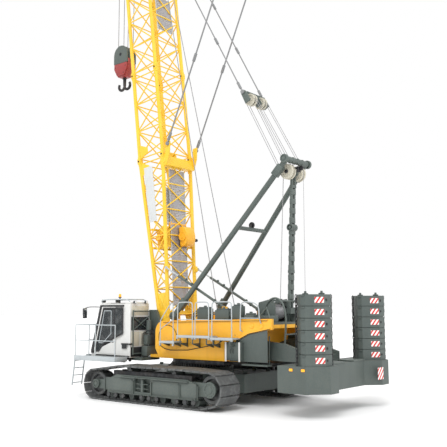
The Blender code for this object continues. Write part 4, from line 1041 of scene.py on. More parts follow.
    def jib_and_strut(self) -> None:
        """The fixed fly jib and the strut over which its stays run."""
        bench, half = (self.bench, 0.45)
        jib_frame = Matrix.Translation((self.length + 0.32, 0, 0)) @ Matrix.Rotation(self.jib_drop, 4, 'Y')
        end = self.jib
        parts = Lattice(0.35, end - 0.45, (0.55, 0.602), 0.9, 7, 0.05, 0.022).build(bench)
        for part in (bench.plate([(-0.1, -0.1), (0.9, -0.32), (0.9, 0.32), (-0.1, 0.1)], half - 0.04, half + 0.04),
                bench.plate([(end - 1.0, -0.33), (end - 0.1, -0.33), (end + 0.1, -0.16), (end + 0.1, 0.1),
                (end - 0.5, 0.42), (end - 1.0, 0.36)], half - 0.054, half + 0.054, edge=0.012)):
            parts += bench.both_sides(part)
        parts.append(bench.tube((0, -0.76, 0), (0, 0.76, 0), 0.07, 16))
        parts.append(bench.tube((end - 0.08, -half, -0.1), (end - 0.08, half, -0.1), 0.08, 16))
        self.bench.dress('fly_jib_lattice', parts, Finish.BOOM, 'boom', 'fly_jib', frame=self.frame @ jib_frame)
        sheave = bench.wheel((end - 0.08, -0.05, -0.1), (end - 0.08, 0.05, -0.1), 0.3)
        bench.dress('jib_tip_sheave', sheave, Finish.CREAM, 'boom', frame=self.frame @ jib_frame)
        foot = Vector((self.length + 0.1, 0.0, self.depth / 2 + 0.1))
        tip = foot + self.strut * Vector((math.cos(self.strut_lean), 0.0, math.sin(self.strut_lean)))
        parts = []
        for side in (1, -1):
            parts.append(bench.tube(foot + Vector((0, side * 0.5, 0)), tip + Vector((0, side * 0.3, 0)), 0.068, 16))
        for share in (0.3, 0.62, 0.95):
            spot = foot.lerp(tip, share)
            across = Vector((0, 0.5 - 0.2 * share, 0))
            parts.append(bench.tube(spot - across, spot + across, 0.043, 14))
        for spot, wide, radius in ((tip, self.width / 2 + 0.03, 0.058), (foot, self.width / 2 - 0.051, 0.058)):
            parts.append(bench.tube(spot - Vector((0, wide, 0)), spot + Vector((0, wide, 0)), radius, 20))
        self.dress('strut_tubes', parts, Finish.GREY, 'jib_strut')

    def build(self) -> None:
        """Model all of it."""
        for step in (self.foot_section, self.sections, self.joint_pins, self.panels, self.winch_parts,
                self.jib_and_strut):
            step()


# ================================================================ undercarriage
@dataclass
class Crawler:
    """Track shoes, links, hubs and the fittings of the side frames and the carbody."""
    bench: Bench
    length: float = 6.79
    gauge: float = 4.78
    shoe_width: float = 1.0
    pitch: float = 0.36
    thickness: float = 0.1
    sprocket: tuple[float, float] = (0.7, 0.59)
    idler: tuple[float, float] = (0.585, 0.56)
    top: float = 1.33
    frame_width: float = 0.76

    def path(self, inset: float) -> list[Vector]:
        """The belt's closed path: the outline round its six guiding circles.

        Args:
            inset: How far inside the belt's outer face.

        Returns:
            The points.
        """
        reach = self.length / 2
        circles = [(-reach + self.sprocket[1], *self.sprocket), (reach - self.idler[1], *self.idler),
            (-2.35, 0.25, 0.25), (2.35, 0.25, 0.25), (-1.5, self.top - 0.25, 0.25), (1.5, self.top - 0.25, 0.25)]
        points = sorted({(round(x + (r - inset) * math.cos(a), 5), round(z + (r - inset) * math.sin(a), 5)) for x, z,
            r in circles for a in (math.tau * n / 72 for n in range(72))})

        def half(row: list[tuple[float, float]]) -> list[tuple[float, float]]:
            """One half of the convex outline.

            Args:
                row: Points in order along X.

            Returns:
                The corners that stay.
            """
            chain: list[tuple[float, float]] = []
            for p in row:
                while len(chain) > 1 and (chain[-1][0] - chain[-2][0]) * (p[1] - chain[-2][1]) <= (chain[-1][1]
                    - chain[-2][1]) * (p[0] - chain[-2][0]):
                    chain.pop()
                chain.append(p)
            return chain[:-1]
        return [Vector(point) for point in half(points) + half(points[::-1])]

    def stations(self, inset: float) -> list[Matrix]:
        """Where each shoe stands: on the path, its local +Z pointing out of the loop.

        Args:
            inset: How far inside the belt's outer face.

        Returns:
            The places.
        """
        path = self.path(inset)
        sides = list(zip(path, path[1:] + path[:1]))
        around = sum(((b - a).length for a, b in sides))
        count = round(around / self.pitch)
        places, run, goal = ([], 0.0, 0.0)
        for a, b in sides:
            span = (b - a).length
            way = (b - a) / span
            while goal <= run + span - 1e-06 and len(places) < count:
                spot = a + way * (goal - run)
                axes = Matrix(((way.x, 0, way.y, spot.x), (0, 1, 0, 0), (way.y, 0, -way.x, spot.y), (0, 0, 0, 1)))
                places.append(axes)
                goal += around / count
            run += span
        return places

    def shoe(self) -> list[Piece]:
        """One shoe: a pan, its bolts and the two links below it.

        Returns:
            The shapes.
        """
        bench, half, long = (self.bench, self.shoe_width / 2, self.pitch / 2 - 0.017)
        depth = self.thickness
        pan = bench.plate([(-long, -0.056), (long, -0.056), (long, -0.016), (long - 0.014, 0.0), (-long + 0.014, 0.0),
            (-long, -0.016)], -half, half, edge=0.0)
        links = [bench.block((-long * 0.95, y - 0.03, -depth), (long * 0.95, y + 0.03, -0.05), 0.0)
            for y in (-0.17, 0.17)]
        bolts = [bench.tube((x, y, -0.012), (x, y, 0.0), 0.02, 6, rim=0.0) for x in (-0.065, 0.075)
            for y in (-0.28, 0.28)]
        return [pan, *links, *bolts]

    def tracks(self) -> None:
        """Both belts, one shoe copied round the path."""
        bench = self.bench
        places = self.stations(0.0)
        for name, side in (('left', 1), ('right', -1)):
            bench.clear()
            parts = self.shoe()
            for part in parts:
                part.select_set(True)
            bpy.context.view_layer.objects.active = parts[0]
            bpy.ops.object.join()
            across = Matrix.Translation((0.0, side * self.gauge / 2, 0.0))
            shoes = bench.copies(parts[0], [across @ place for place in places])
            bench.dress(name + '_shoes', shoes, Finish.TRACK, 'undercarriage', name + '_track', smooth=25.0)

    def wheels(self) -> None:
        """Sprockets with teeth, idlers, and the hub covers outside them."""
        bench = self.bench
        reach = self.length / 2
        for name, side in (('left', 1), ('right', -1)):
            middle = side * self.gauge / 2
            for kind, x, (z, radius) in (('sprocket', -reach + self.sprocket[1], self.sprocket),
                    ('idler', reach - self.idler[1], self.idler)):
                rim = radius - self.thickness - 0.012
                parts = [bench.wheel((x, middle - 0.25, z), (x, middle + 0.25, z), rim, sides=48)]
                if kind == 'sprocket':
                    tooth = bench.plate([(rim - 0.04, -0.05), (rim + 0.052, -0.022), (rim + 0.052, 0.022),
                        (rim - 0.04, 0.05)], -0.09, 0.09, edge=0.006)
                    turns = [Matrix.Translation((x, middle, z)) @ Matrix.Rotation(math.tau * n / 11, 4, 'Y')
                        for n in range(11)]
                    parts += bench.copies(tooth, turns)
                bench.dress(f'{name}_{kind}_wheel', parts, Finish.WHEEL, 'undercarriage', f'{name}_{kind}')
                outer = middle + side * 0.316
                cover = [bench.wheel((x, outer, z), (x, outer + side * 0.085, z), 0.27 if kind == 'sprocket'
                    else 0.17, hub=0.3)]
                ring = 0.21 if kind == 'sprocket' else 0.12
                bolt = bench.tube((ring, -0.012, 0), (ring, 0.012, 0), 0.016, 6, rim=0.0)
                cover += bench.copies(bolt,
                    [Matrix.Translation((x, outer + side * 0.088, z)) @ Matrix.Rotation(math.tau * n / 12, 4, 'Y')
                    for n in range(12)])
                bench.dress(f'{name}_{kind}_hub', cover, Finish.GREY, 'undercarriage')

    def side_frames(self) -> None:
        """Roller caps, ribs, step plates and covers on the outside of the side frames."""
        bench = self.bench
        for name, side in (('left', 1), ('right', -1)):
            face = side * (self.gauge / 2 + self.frame_width / 2)

            def out(depth: float) -> float:
                """A place across the crane, proud of the frame's outer face."""
                return face + side * depth
            caps = []
            for x in (-2.1, -1.72, -1.34, -0.38, 0.0, 0.38, 1.34, 1.72, 2.1):
                caps.append(bench.wheel((x, out(-0.03), 0.235), (x, out(0.035), 0.235), 0.085, sides=16))
            for x in (-1.1, 1.1):
                caps.append(bench.wheel((x, out(-0.17), 1.13), (x, out(-0.1), 1.13), 0.1, sides=20))
            bench.dress(name + '_roller_caps', caps, Finish.WHEEL, 'undercarriage')
            ribs = [bench.block((x - 0.018, out(PROUD), 0.33), (x + 0.018, out(0.05), 0.8), 0.004)
                for x in (-2.3, -1.48, -0.12, 0.8, 2.3)]
            ribs.append(bench.block((-1.9, out(PROUD), 0.905), (1.45, out(0.11), 0.93), 0.006))
            ribs.append(bench.block((-2.1, out(PROUD), 0.325), (2.1, out(0.06), 0.345), 0.004))
            bench.dress(name + '_frame_ribs', ribs, Finish.GREY, 'undercarriage')
            covers = []
            for x0, x1 in ((-2.24, -1.54), (-1.42, -0.18), (0.86, 2.24)):
                covers.append(bench.block((x0, out(PROUD), 0.4), (x1, out(0.022), 0.86), 0.012))
                for x in (x0 + 0.05, x1 - 0.05):
                    for z in (0.45, 0.81):
                        covers.append(bench.tube((x, out(0.018), z), (x, out(0.034), z), 0.014, 6, rim=0.0))
            for z in (0.53, 0.69):
                covers.append(bench.block((0.05, out(-0.135), z), (0.65, out(0.02), z + 0.025), 0.006))
            covers.append(bench.block((0.3, out(-0.12), 0.42), (0.4, out(0.021), 0.86), 0.006))
            bench.dress(name + '_frame_covers', covers, Finish.GREY, 'undercarriage')
            middle = side * self.gauge / 2
            rails = [bench.block((-1.95, middle - 0.3, 0.9), (1.95, middle - 0.12, 1.12), 0.02),
                bench.block((-1.95, middle + 0.12, 0.9), (1.95, middle + 0.3, 1.12), 0.02)]
            bench.dress(name + '_upper_guides', rails, Finish.DARK, 'undercarriage')

    def carbody(self) -> None:
        """Bolts and teeth of the slewing ring, and ballast lugs."""
        bench = self.bench
        bolt = bench.tube((1.2, 0, 1.22), (1.2, 0, 1.26), 0.03, 6, rim=0.1)
        bolts = bench.copies(bolt, [Matrix.Rotation(math.tau * n / 32, 4, 'Z') for n in range(32)])
        bench.dress('slewing_ring_bolts', bolts, Finish.DARK, 'undercarriage')
        teeth = bench.copies(bench.block((1.045, -0.022, 1.235), (1.085, 0.022, 1.37), 0.004),
            [Matrix.Rotation(math.tau * n / 64, 4, 'Z') for n in range(64)])
        bench.dress('slewing_ring_teeth', teeth, Finish.WHEEL, 'undercarriage')
        lugs = []
        for x in (2.1, 2.72, -2.1, -2.72):
            for y in (-0.7, 0.7):
                lugs.append(bench.block((x - 0.1, y - 0.02, 1.1), (x + 0.1, y + 0.02, 1.19), 0.02))
                lugs.append(bench.tube((x, y - 0.035, 1.14), (x, y + 0.035, 1.14), 0.022, 12))
        bench.dress('ballast_lugs', lugs, Finish.SLAB, 'undercarriage')

    def build(self) -> None:
        """Model all of it."""
        for step in (self.tracks, self.wheels, self.side_frames, self.carbody):
            step()


# ================================================================ ropes and rigging
@dataclass
class Rigging:
    """Wire ropes, their windings, and the sheaves, links and hook that they run over."""
    bench: Bench
    boom: Boom
    rope: float = 0.016
    mast_shaft: Point = (-4.42, 8.22)
    spreader_distance: float = 3.35
    sheave_rows: tuple[float, ...] = (-0.4, -0.24, 0.24, 0.4)
    fall_rows: tuple[float, ...] = (-0.24, -0.08, 0.08, 0.24)
    hook_drop: float = 5.05
    block_height: float = 1.45

    def on_boom(self, along: float, behind: float) -> Vector:
        """A point of the boom's centre plane, in crane coordinates."""
        return self.boom.frame @ Vector((along, 0.0, behind))

    def luff_frame(self) -> tuple[Vector, Vector, float]:
        """Mast shaft, unit vector to the pendants' anchor on the boom head, and their distance.

        Returns:
            The three of them.
        """
        shaft = Vector((self.mast_shaft[0], 0.0, self.mast_shaft[1]))
        line = self.on_boom(self.boom.length - 0.32, 0.9) - shaft
        return (shaft, line.normalized(), line.length)

    def hook_line(self) -> tuple[float, float, float]:
        """The head shaft's X and Z, and the height of the hook block's top."""
        head = self.boom.frame @ Vector((self.boom.shaft[0], 0.0, self.boom.shaft[1]))
        return (head.x, head.z, head.z - self.hook_drop)

    def windings(self) -> None:
        """Rope laid turn by turn on the three drums, and the drums' flanges."""
        bench = self.bench
        for name, x, y, z, half, radius, flange in (('hoist_drum_front', -1.18, 0.0, 2.45, 0.56, 0.3, 0.44),
                ('hoist_drum_rear', -2.28, 0.0, 2.45, 0.56, 0.3, 0.44), ('luffing_drum', -3.72, 0.3, 3.26, 0.42,
                0.22, 0.31)):
            turns = int((2 * half - 0.16) / 0.036)
            start = y - half + 0.08
            ring = bench.tube((x, start, z), (x, start + 0.035, z), radius + 0.045, 28, rim=0.06)
            bench.dress(name + '_rope', bench.shifted(ring, [(0, 0.036 * n, 0) for n in range(turns)]), Finish.ROPE,
                name)
            rims = [bench.wheel((x, y + side * (half - 0.012), z), (x, y + side * (half + 0.0), z), flange * 0.97)
                for side in (1, -1)]
            bench.dress(name + '_flanges', rims, Finish.FRAME if name != 'luffing_drum' else Finish.GREY, name)

    def mast_head(self) -> None:
        """Sheaves on the mast head's shaft."""
        bench, (x, z) = (self.bench, self.mast_shaft)
        wheels = [bench.wheel((x, y - 0.033, z), (x, y + 0.033, z), 0.275) for y in self.sheave_rows]
        bench.dress('mast_head_sheave_rims', wheels, Finish.CREAM, 'mast_sheaves')
        shaft = [bench.tube((x, -0.4745, z), (x, 0.4745, z), 0.069, 20)]
        bench.dress('mast_head_shaft', shaft, Finish.DARK, 'mast_sheaves', 'mast_head_sheaves')

    def spreader(self) -> None:
        """Travelling spreader: cheeks, sheaves, cross beam and the pendants' end links."""
        bench = self.bench
        shaft, line, distance = self.luff_frame()
        side_way = Vector((-line.z, 0.0, line.x))
        frame = Matrix(((line.x, 0, side_way.x, shaft.x), (0, 1, 0, 0), (line.z, 0, side_way.z, shaft.z),
            (0, 0, 0, 1)))
        near = self.spreader_distance
        cheeks = [bench.tube((near, -0.62, 0), (near, 0.62, 0), 0.058, 20), bench.block((near + 0.09, -0.6, -0.055),
            (near + 0.21, 0.6, 0.055), 0.015)]
        for y in (0.6, 0.32, 0.12):
            cheeks += bench.both_sides(bench.plate([(near - 0.14, -0.13), (near + 0.3, -0.11), (near + 0.42, -0.03),
                (near + 0.42, 0.03), (near + 0.3, 0.11), (near - 0.14, 0.13)], y - 0.028, y + 0.028, edge=0.008))
        bench.dress('spreader_cheeks', cheeks, Finish.GREY, 'spreader', 'spreader_block', frame=frame)
        wheels = [bench.wheel((near, y - 0.034, 0), (near, y + 0.034, 0), 0.225) for y in self.sheave_rows]
        bench.dress('spreader_sheaves', wheels, Finish.CREAM, 'spreader', frame=frame)
        links = []
        for x in (near + 0.62, near + 2.9, near + 5.4):
            links += bench.both_sides(bench.block((x - 0.16, 0.618, -0.045), (x + 0.16, 0.702, 0.045), 0.02))
        bench.dress('pendant_links', links, Finish.STAY, 'spreader', frame=frame)
        ropes = []
        for y in self.sheave_rows:
            for z in (-0.2, 0.2):
                ropes.append(bench.rope((0.0, y, z * 1.25), (near, y, z), 0.011, steps=24))
        bench.dress('luffing_reeving', ropes, Finish.ROPE, 'mast_sheaves', frame=frame,
            blend=('spreader', frame @ Vector((0.25, 0, 0)), frame @ Vector((near - 0.1, 0, 0))))

    def head_and_falls(self) -> None:
        """Head sheaves with their shaft, and the four falls down to the hook block."""
        bench = self.bench
        x, z, top = self.hook_line()
        wheels = [bench.wheel((x, y - 0.029, z), (x, y + 0.029, z), 0.355) for y in self.fall_rows]
        wheels.append(bench.tube((x, -0.3745, z), (x, 0.3745, z), 0.069, 20))
        bench.dress('head_sheave_rims', wheels, Finish.CREAM, 'head_sheaves', 'boom_head_sheaves')
        falls = []
        for y in self.fall_rows[:3:2]:
            for side in (-0.3, 0.3):
                falls.append(bench.rope((x + side * 1.1, y, z), (x + side, y + 0.04, top - 0.28), 0.016, steps=30))
        bench.dress('hoist_falls', falls, Finish.ROPE, 'head_sheaves', blend=('hook_block', (x, 0, z - 0.5),
            (x, 0, top)))

    def hook_block(self) -> None:
        """Hook block: grey head with sheaves, red cheeks, ballast and bolts."""
        bench = self.bench
        x, _, top = self.hook_line()
        bottom = top - self.block_height
        cheeks = []
        for y0, y1 in ((-0.28, -0.205), (-0.1, -0.045), (0.045, 0.1), (0.205, 0.28)):
            crown = [(x + 0.42 * math.cos(a), top - 0.44 + 0.42 * math.sin(a)) for a in frange(0.0, math.pi, 15)]
            cheeks.append(bench.plate([(x - 0.42, bottom + 0.62), (x + 0.42, bottom + 0.62), *crown], y0, y1,
                edge=0.012))
        bench.dress('block_cheeks', cheeks, Finish.GREY, 'hook_block', 'hook_block')
        body = [bench.plate([(x - 0.42, bottom + 0.36), (x - 0.23, bottom + 0.02), (x + 0.23, bottom + 0.02),
            (x + 0.42, bottom + 0.36), (x + 0.42, top - 0.64), (x - 0.42, top - 0.64)], -0.205, 0.205, edge=0.02)]
        for side in (1, -1):
            low, high = sorted((side * 0.207, side * 0.279))
            body.append(bench.plate([(x - 0.4, bottom + 0.38), (x - 0.22, bottom + 0.06), (x + 0.22, bottom + 0.06),
                (x + 0.4, bottom + 0.38), (x + 0.4, bottom + 0.615), (x - 0.4, bottom + 0.615)], low, high,
                edge=0.018))
        bench.dress('block_ballast', body, Finish.RED, 'hook_block')
        wheels = [bench.wheel((x, y - 0.03, top - 0.42), (x, y + 0.03, top - 0.42), 0.33) for y in (-0.15, 0.0, 0.15)]
        bench.dress('block_sheaves', wheels, Finish.CREAM, 'hook_block')
        bolts = [bench.tube((x, -0.285, top - 0.42), (x, 0.285, top - 0.42), 0.085, 20)]
        for bx, bz in ((-0.32, 0.46), (0.32, 0.46), (-0.2, 0.16), (0.2, 0.16)):
            bolts.append(bench.tube((x + bx, -0.286, bottom + bz), (x + bx, 0.286, bottom + bz), 0.026, 6))
        bench.dress('block_pins', bolts, Finish.DARK, 'hook_block')

    def hook(self) -> None:
        """Double ram's-horn hook with its nut and shank."""
        bench = self.bench
        x, _, block_top = self.hook_line()
        top = block_top - self.block_height
        parts = [bench.tube((x, 0, top - 0.36), (x, 0, top - 0.003), 0.068, 20, tip=0.075),
            bench.tube((x, 0, top - 0.06), (x, 0, top - 0.004), 0.105, 6)]
        for side in (1, -1):
            centre = Vector((x + side * 0.175, 0.0, top - 0.36))
            arc = [centre + 0.175 * Vector((-side * math.cos(a), 0.0, -math.sin(a))) for a in (math.radians(step)
                for step in range(-25, 228, 11))]
            prong = bench.line(arc, 0.06, sides=4, smooth=False)
            for vertex in prong.data.vertices:
                if (vertex.co.x - centre.x) * side > 0.02:
                    share = max(0.55, 1.0 - 0.9 * max(0.0, vertex.co.z - centre.z + 0.06))
                    vertex.co.y *= share
            parts.append(prong)
        bench.dress('ram_horn_hook', parts, Finish.DARK, 'hook', 'hook')

    def hoist_ropes(self) -> None:
        """The two hoist ropes from the winches over the boom, and the luffing rope to the mast head."""
        bench = self.bench
        for name, foot, tip in (('main_hoist_rope', (-2.02, 0.12, 2.62), self.on_boom(18.45, 0.75)),
                ('jib_hoist_rope', (-0.92, -0.12, 2.62), self.on_boom(18.25, 0.62))):
            foot = Vector(foot)
            bench.dress(name, bench.rope(foot, tip, self.rope, sag=0.05, steps=60), Finish.ROPE, 'superstructure',
                blend=('boom', foot.lerp(tip, 0.02), tip))
        wheels = []
        for along, behind in ((18.45, 0.66), (18.25, 0.53)):
            spot = Vector((along, 0.0, behind))
            y = 0.12 if along > 18.3 else -0.12
            wheels.append(bench.wheel(spot + Vector((0, y - 0.03, 0)), spot + Vector((0, y + 0.03, 0)), 0.1,
                sides=24))
        self.boom.dress('hoist_rope_rollers', wheels, Finish.CREAM)
        x, z = self.mast_shaft
        lead = bench.rope((-3.94, 0.24, 3.34), (x + 0.26, 0.24, z), 0.011, steps=12)
        bench.dress('luffing_lead_rope', lead, Finish.ROPE, 'superstructure')

    def stay_links(self) -> None:
        """Connecting links along the fly jib's stays."""
        bench = self.bench
        boom = self.boom
        foot = Vector((boom.length + 0.1, 0.0, boom.depth / 2 + 0.1))
        tip = foot + boom.strut * Vector((math.cos(boom.strut_lean), 0.0, math.sin(boom.strut_lean)))
        low = Vector((7.7, 0.0, 1.0))
        y = boom.width / 2 + 0.03 + 0.035
        parts = []
        for share in (0.025, 0.3, 0.58, 0.84):
            spot = low.lerp(tip, share)
            turn = (tip - low).to_track_quat('X', 'Z').to_matrix().to_4x4()
            parts += bench.copies(bench.block((-0.17, -0.045, -0.05), (0.17, 0.045, 0.05), 0.02),
                [Matrix.Translation(spot + Vector((0, side * y, 0))) @ turn for side in (1, -1)])
        boom.dress('stay_links', parts, Finish.STAY)

    def build(self) -> None:
        """Model all of it."""
        for step in (self.windings, self.mast_head, self.spreader, self.head_and_falls, self.hook_block, self.hook,
                self.hoist_ropes, self.stay_links):
            step()


@dataclass
class Fittings:
    """Pieces that turn with the superstructure."""
    bench: Bench

    def put(self, name: str, parts: Piece | list[Piece], finish: Finish, *replaced: str) -> Piece:
        """Dress a piece that turns with the superstructure."""
        return self.bench.dress(name, parts, finish, 'superstructure', *replaced)


# ================================================================ superstructure
@dataclass
class Upperstructure(Fittings):
    """Fittings of the main frame, machinery deck, A-frame, walkway and engine house."""
    girder: float = 1.5

    def frame_panels(self) -> None:
        """Panel plates, arc-topped cover, flanges and stiffeners on the main girders."""
        bench, face = (self.bench, self.girder)
        parts = []
        arch = [(0.3 + 0.44 * math.cos(a), 2.32 + 0.44 * math.sin(a)) for a in frange(0.0, math.pi, 13)]
        for part in (bench.plate([(0.74, 1.8), *arch, (-0.14, 1.8)], face + HAIR, face + 0.014, edge=0.005),
                bench.plate([(0.52, 2.925), (-4.3, 3.022), (-4.3, 2.985), (0.52, 2.888)], face + HAIR, face + 0.035,
                edge=0.004), bench.plate([(-2.6, 1.75), (-2.95, 2.27), (-3.52, 2.53), (-4.4, 2.7), (-4.4, 2.74),
                (-3.5, 2.575), (-2.92, 2.32), (-2.56, 1.8)], face + HAIR, face + 0.03, edge=0.004)):
            parts += bench.both_sides(part)
        for x in (-3.62, -4.02):
            parts += bench.both_sides(bench.wheel((x, face + HAIR, 2.8), (x, face + 0.02, 2.8), 0.09, sides=24))
        self.put('girder_panels', parts, Finish.FRAME)
        lower = bench.both_sides(bench.plate([(0.66, 1.56), (0.73, 2.04), (0.4, 1.9), (0.13, 1.86), (-0.75, 1.89),
            (-2.14, 2.14), (-2.5, 2.36), (-2.62, 1.75), (-2.5, 1.56)], face + 0.0145, face + 0.03, edge=0.005))
        self.put('girder_lower_panels', lower, Finish.FRAME)
        tail = bench.both_sides(bench.plate([(-2.66, 1.58), (-2.66, 1.86), (-2.95, 2.25), (-3.52, 2.51),
            (-4.28, 2.66), (-4.28, 1.58)], face + HAIR, face + 0.012, edge=0.004))
        self.put('tail_covers', tail, Finish.SLAB)
        seam = [(0.3 + 0.46 * math.cos(a), face + 0.012, 2.32 + 0.46 * math.sin(a)) for a in frange(-0.5,
            math.pi + 0.4, 17)]
        seams = bench.both_sides(bench.line(seam, 0.01, sides=1, smooth=False))
        seams += bench.both_sides(bench.line([(0.52, face + 0.034, 2.886), (-4.28, face + 0.034, 2.983)], 0.009,
            sides=1, smooth=False))
        seams += bench.both_sides(bench.line([(-2.95, face + 0.028, 2.27), (-3.52, face + 0.028, 2.53),
            (-4.4, face + 0.028, 2.7)], 0.012, sides=1, smooth=False))
        lip = [(0.73, 2.04), (0.4, 1.9), (0.13, 1.86), (-0.75, 1.89), (-2.14, 2.14), (-2.5, 2.36)]
        seams += bench.both_sides(bench.line([(x, face + 0.026, z) for x, z in lip], 0.016, sides=2, smooth=False))
        self.put('girder_seams', seams, Finish.PLASTIC)
        skirt = [bench.block((-2.35, side * 1.05, 1.4), (-0.3, side * 1.46, 1.555), 0.02) for side in (1, -1)]
        skirt.append(bench.block((-4.28, -1.28, 1.43), (-2.45, 1.28, 1.555), 0.02))
        self.put('frame_skirt', skirt, Finish.DARK)

    def walkway(self) -> None:
        """Grating treads, kick plates, cabinet and posts on the left side."""
        bench = self.bench
        treads = []
        for x0, x1, z in ((-0.43, 0.31, 2.16), (-2.12, -0.55, 2.38), (-3.14, -2.14, 2.33)):
            treads.append(bench.block((x0, 1.51, z), (x1, 1.95, z + 0.035), 0.005))
            treads.append(bench.block((x0, 1.935, z - 0.03), (x1, 1.962, z + 0.06), 0.004))
            treads += bench.shifted(bench.block((x0 + 0.02, 1.52, z + 0.035), (x0 + 0.04, 1.93, z + 0.05), 0.0),
                [(0.07 * n, 0, 0) for n in range(int((x1 - x0 - 0.04) / 0.07) + 1)])
        self.put('walkway_treads', treads, Finish.RAIL, 'left_walkway')
        rails = []
        for x0, x1, low, drop in ((0.29, -0.36, 2.1, 0.6), (-0.58, -1.3, 2.36, 0.0), (-1.42, -2.06, 2.36, 0.0),
                (-2.2, -3.08, 2.32, 0.0)):
            rails.append(bench.line([(x0, 1.92, low), (x0, 1.92, 3.5 - drop), (x0 - 0.03, 1.92, 3.58 - drop),
                (x0 - 0.1, 1.92, 3.62 - drop * 0.9), (x1 + 0.1, 1.92, 3.62), (x1 + 0.03, 1.92, 3.58),
                (x1, 1.92, 3.5), (x1, 1.92, low)], 0.02, sides=3))
            rails.append(bench.tube((x0, 1.92, 3.0 - drop * 0.6), (x1, 1.92, 3.0), 0.015, 10))
            for x in (x0, x1):
                rails.append(bench.block((x - 0.035, 1.89, low - 0.06), (x + 0.035, 1.95, low + 0.04), 0.006))
        self.put('walkway_handrails', rails, Finish.RAIL)
        brackets = []
        for x in (0.2, -0.35, -0.7, -1.3, -1.95, -2.25, -3.0):
            brackets.append(bench.plate([(1.502, 2.0), (1.93, 2.13), (1.93, 2.155), (1.502, 2.155)], x - 0.02,
                x + 0.02, 'X', edge=0.004))
            if x < -0.5:
                brackets.append(bench.block((x - 0.02, 1.502, 2.15), (x + 0.02, 1.54, 2.335), 0.004))
                brackets.append(bench.block((x - 0.02, 1.9, 2.15), (x + 0.02, 1.93, 2.335), 0.004))
        self.put('walkway_brackets', brackets, Finish.GREY)
        cabinet = [bench.block((-3.28, 1.503, 1.62), (-2.58, 1.7, 2.235), 0.02), bench.block((-3.22, 1.698, 1.68),
            (-2.95, 1.715, 2.18), 0.008), bench.block((-2.91, 1.698, 1.68), (-2.64, 1.715, 2.18), 0.008)]
        self.put('side_cabinet', cabinet, Finish.SLAB)
        posts = [bench.block((x - 0.035, 1.716, 1.58), (x + 0.035, 1.735, 2.24), 0.006) for x in (-2.66, -3.25)]
        self.put('cabinet_posts', posts, Finish.WHITE)
        handles = [bench.line([(x, 1.712, 1.86), (x, 1.745, 1.88), (x, 1.745, 1.98), (x, 1.712, 2.0)], 0.009,
            sides=2) for x in (-2.99, -2.87)]
        self.put('cabinet_handles', handles, Finish.PLASTIC)
        loop = [bench.line([(-3.22, 1.62, 2.62), (-3.22, 1.62, 3.46), (-3.3, 1.62, 3.6), (-3.55, 1.62, 3.62),
            (-3.9, 1.62, 3.56), (-4.02, 1.62, 3.4), (-4.02, 1.62, 3.05), (-4.02, 1.51, 2.88)], 0.02, sides=3),
            bench.tube((-3.22, 1.62, 3.06), (-4.02, 1.62, 3.06), 0.015, 10),
            bench.line([(-3.22, 1.62, 2.66), (-3.22, 1.51, 2.6)], 0.018, sides=2, smooth=False)]
        self.put('rear_handrail_loop', loop, Finish.RAIL)
        guard = bench.both_sides(bench.line([(-4.46, 0.8, 1.8), (-4.54, 0.8, 2.6), (-4.56, 0.8, 3.18),
            (-4.42, 0.8, 3.62), (-4.11, 0.8, 3.78), (-3.78, 0.8, 3.62), (-3.62, 0.8, 3.24), (-3.5, 0.8, 2.92)],
            0.036, sides=3))
        guard += [bench.tube((x, -0.8, z), (x, 0.8, z), 0.026, 12) for x, z in ((-4.36, 3.64), (-4.54, 2.5))]
        self.put('luffing_winch_guard', guard, Finish.GREY)
        bracket = [bench.line([(-3.86, 1.46, 3.05), (-4.11, 1.3, 3.42), (-4.36, 1.46, 3.05)], 0.028, sides=2,
            smooth=False)]
        self.put('deck_bracket', bracket, Finish.GREY)
        steps = [bench.block((-4.28, 1.1, 1.45), (-3.2, 1.55, 1.5), 0.01)]
        steps += bench.shifted(bench.block((-4.27, 1.11, 1.5), (-4.25, 1.54, 1.515), 0.0),
            [(0.09 * n, 0, 0) for n in range(12)])
        for x in (-4.2, -3.28):
            steps.append(bench.line([(x, 1.3, 1.46), (x, 1.3, 1.95), (x + 0.06, 1.2, 2.45)], 0.022, sides=2,
                smooth=False))
        self.put('rear_step', steps, Finish.GREY)

    def deck(self) -> None:
        """Tread plates, hydraulic blocks, hoses and the winch motors."""
        bench = self.bench
        boxes = [bench.block((-4.3, -1.3, 2.921), (-3.42, -0.62, 3.3), 0.03), bench.block((-2.86, 0.72, 1.665),
            (-0.35, 1.28, 2.02), 0.03), bench.block((-2.86, -1.28, 1.665), (-0.35, -0.72, 2.02), 0.03),
            bench.block((-4.3, 0.86, 2.921), (-3.7, 1.3, 3.14), 0.03), bench.block((0.45, -0.55, 1.665),
            (0.85, 0.55, 2.1), 0.03)]
        for x in (-4.1, -3.86, -3.62):
            boxes.append(bench.wheel((x, -0.96, 3.298), (x, -0.96, 3.33), 0.09, sides=20))
        self.put('deck_boxes', boxes, Finish.GREY)
        machinery = []
        for x0, x1, z in ((-1.6, -1.02, 3.5), (-2.5, -1.86, 3.44), (-3.05, -2.64, 3.58), (-3.6, -3.18, 3.28)):
            machinery.append(bench.block((x0, 1.09, 2.93), (x1, 1.36, z - 0.1), 0.03))
            machinery.append(bench.block((x0 + 0.06, 1.12, z - 0.1), (x1 - 0.06, 1.33, z - 0.05), 0.012))
            machinery.append(bench.tube(((x0 + x1) / 2, 1.22, z - 0.06), ((x0 + x1) / 2, 1.22, z), 0.055, 16))
        for n in range(3):
            machinery.append(bench.line([(-0.7, 1.14 + 0.08 * n, 2.92), (-0.72, 1.14 + 0.08 * n, 3.16 + 0.05 * n),
                (-1.02, 1.14 + 0.08 * n, 3.22 + 0.05 * n)], 0.024, sides=3))
            machinery.append(bench.tube((-1.6, 1.14 + 0.08 * n, 3.2), (-1.86, 1.14 + 0.08 * n, 3.18), 0.024, 10))
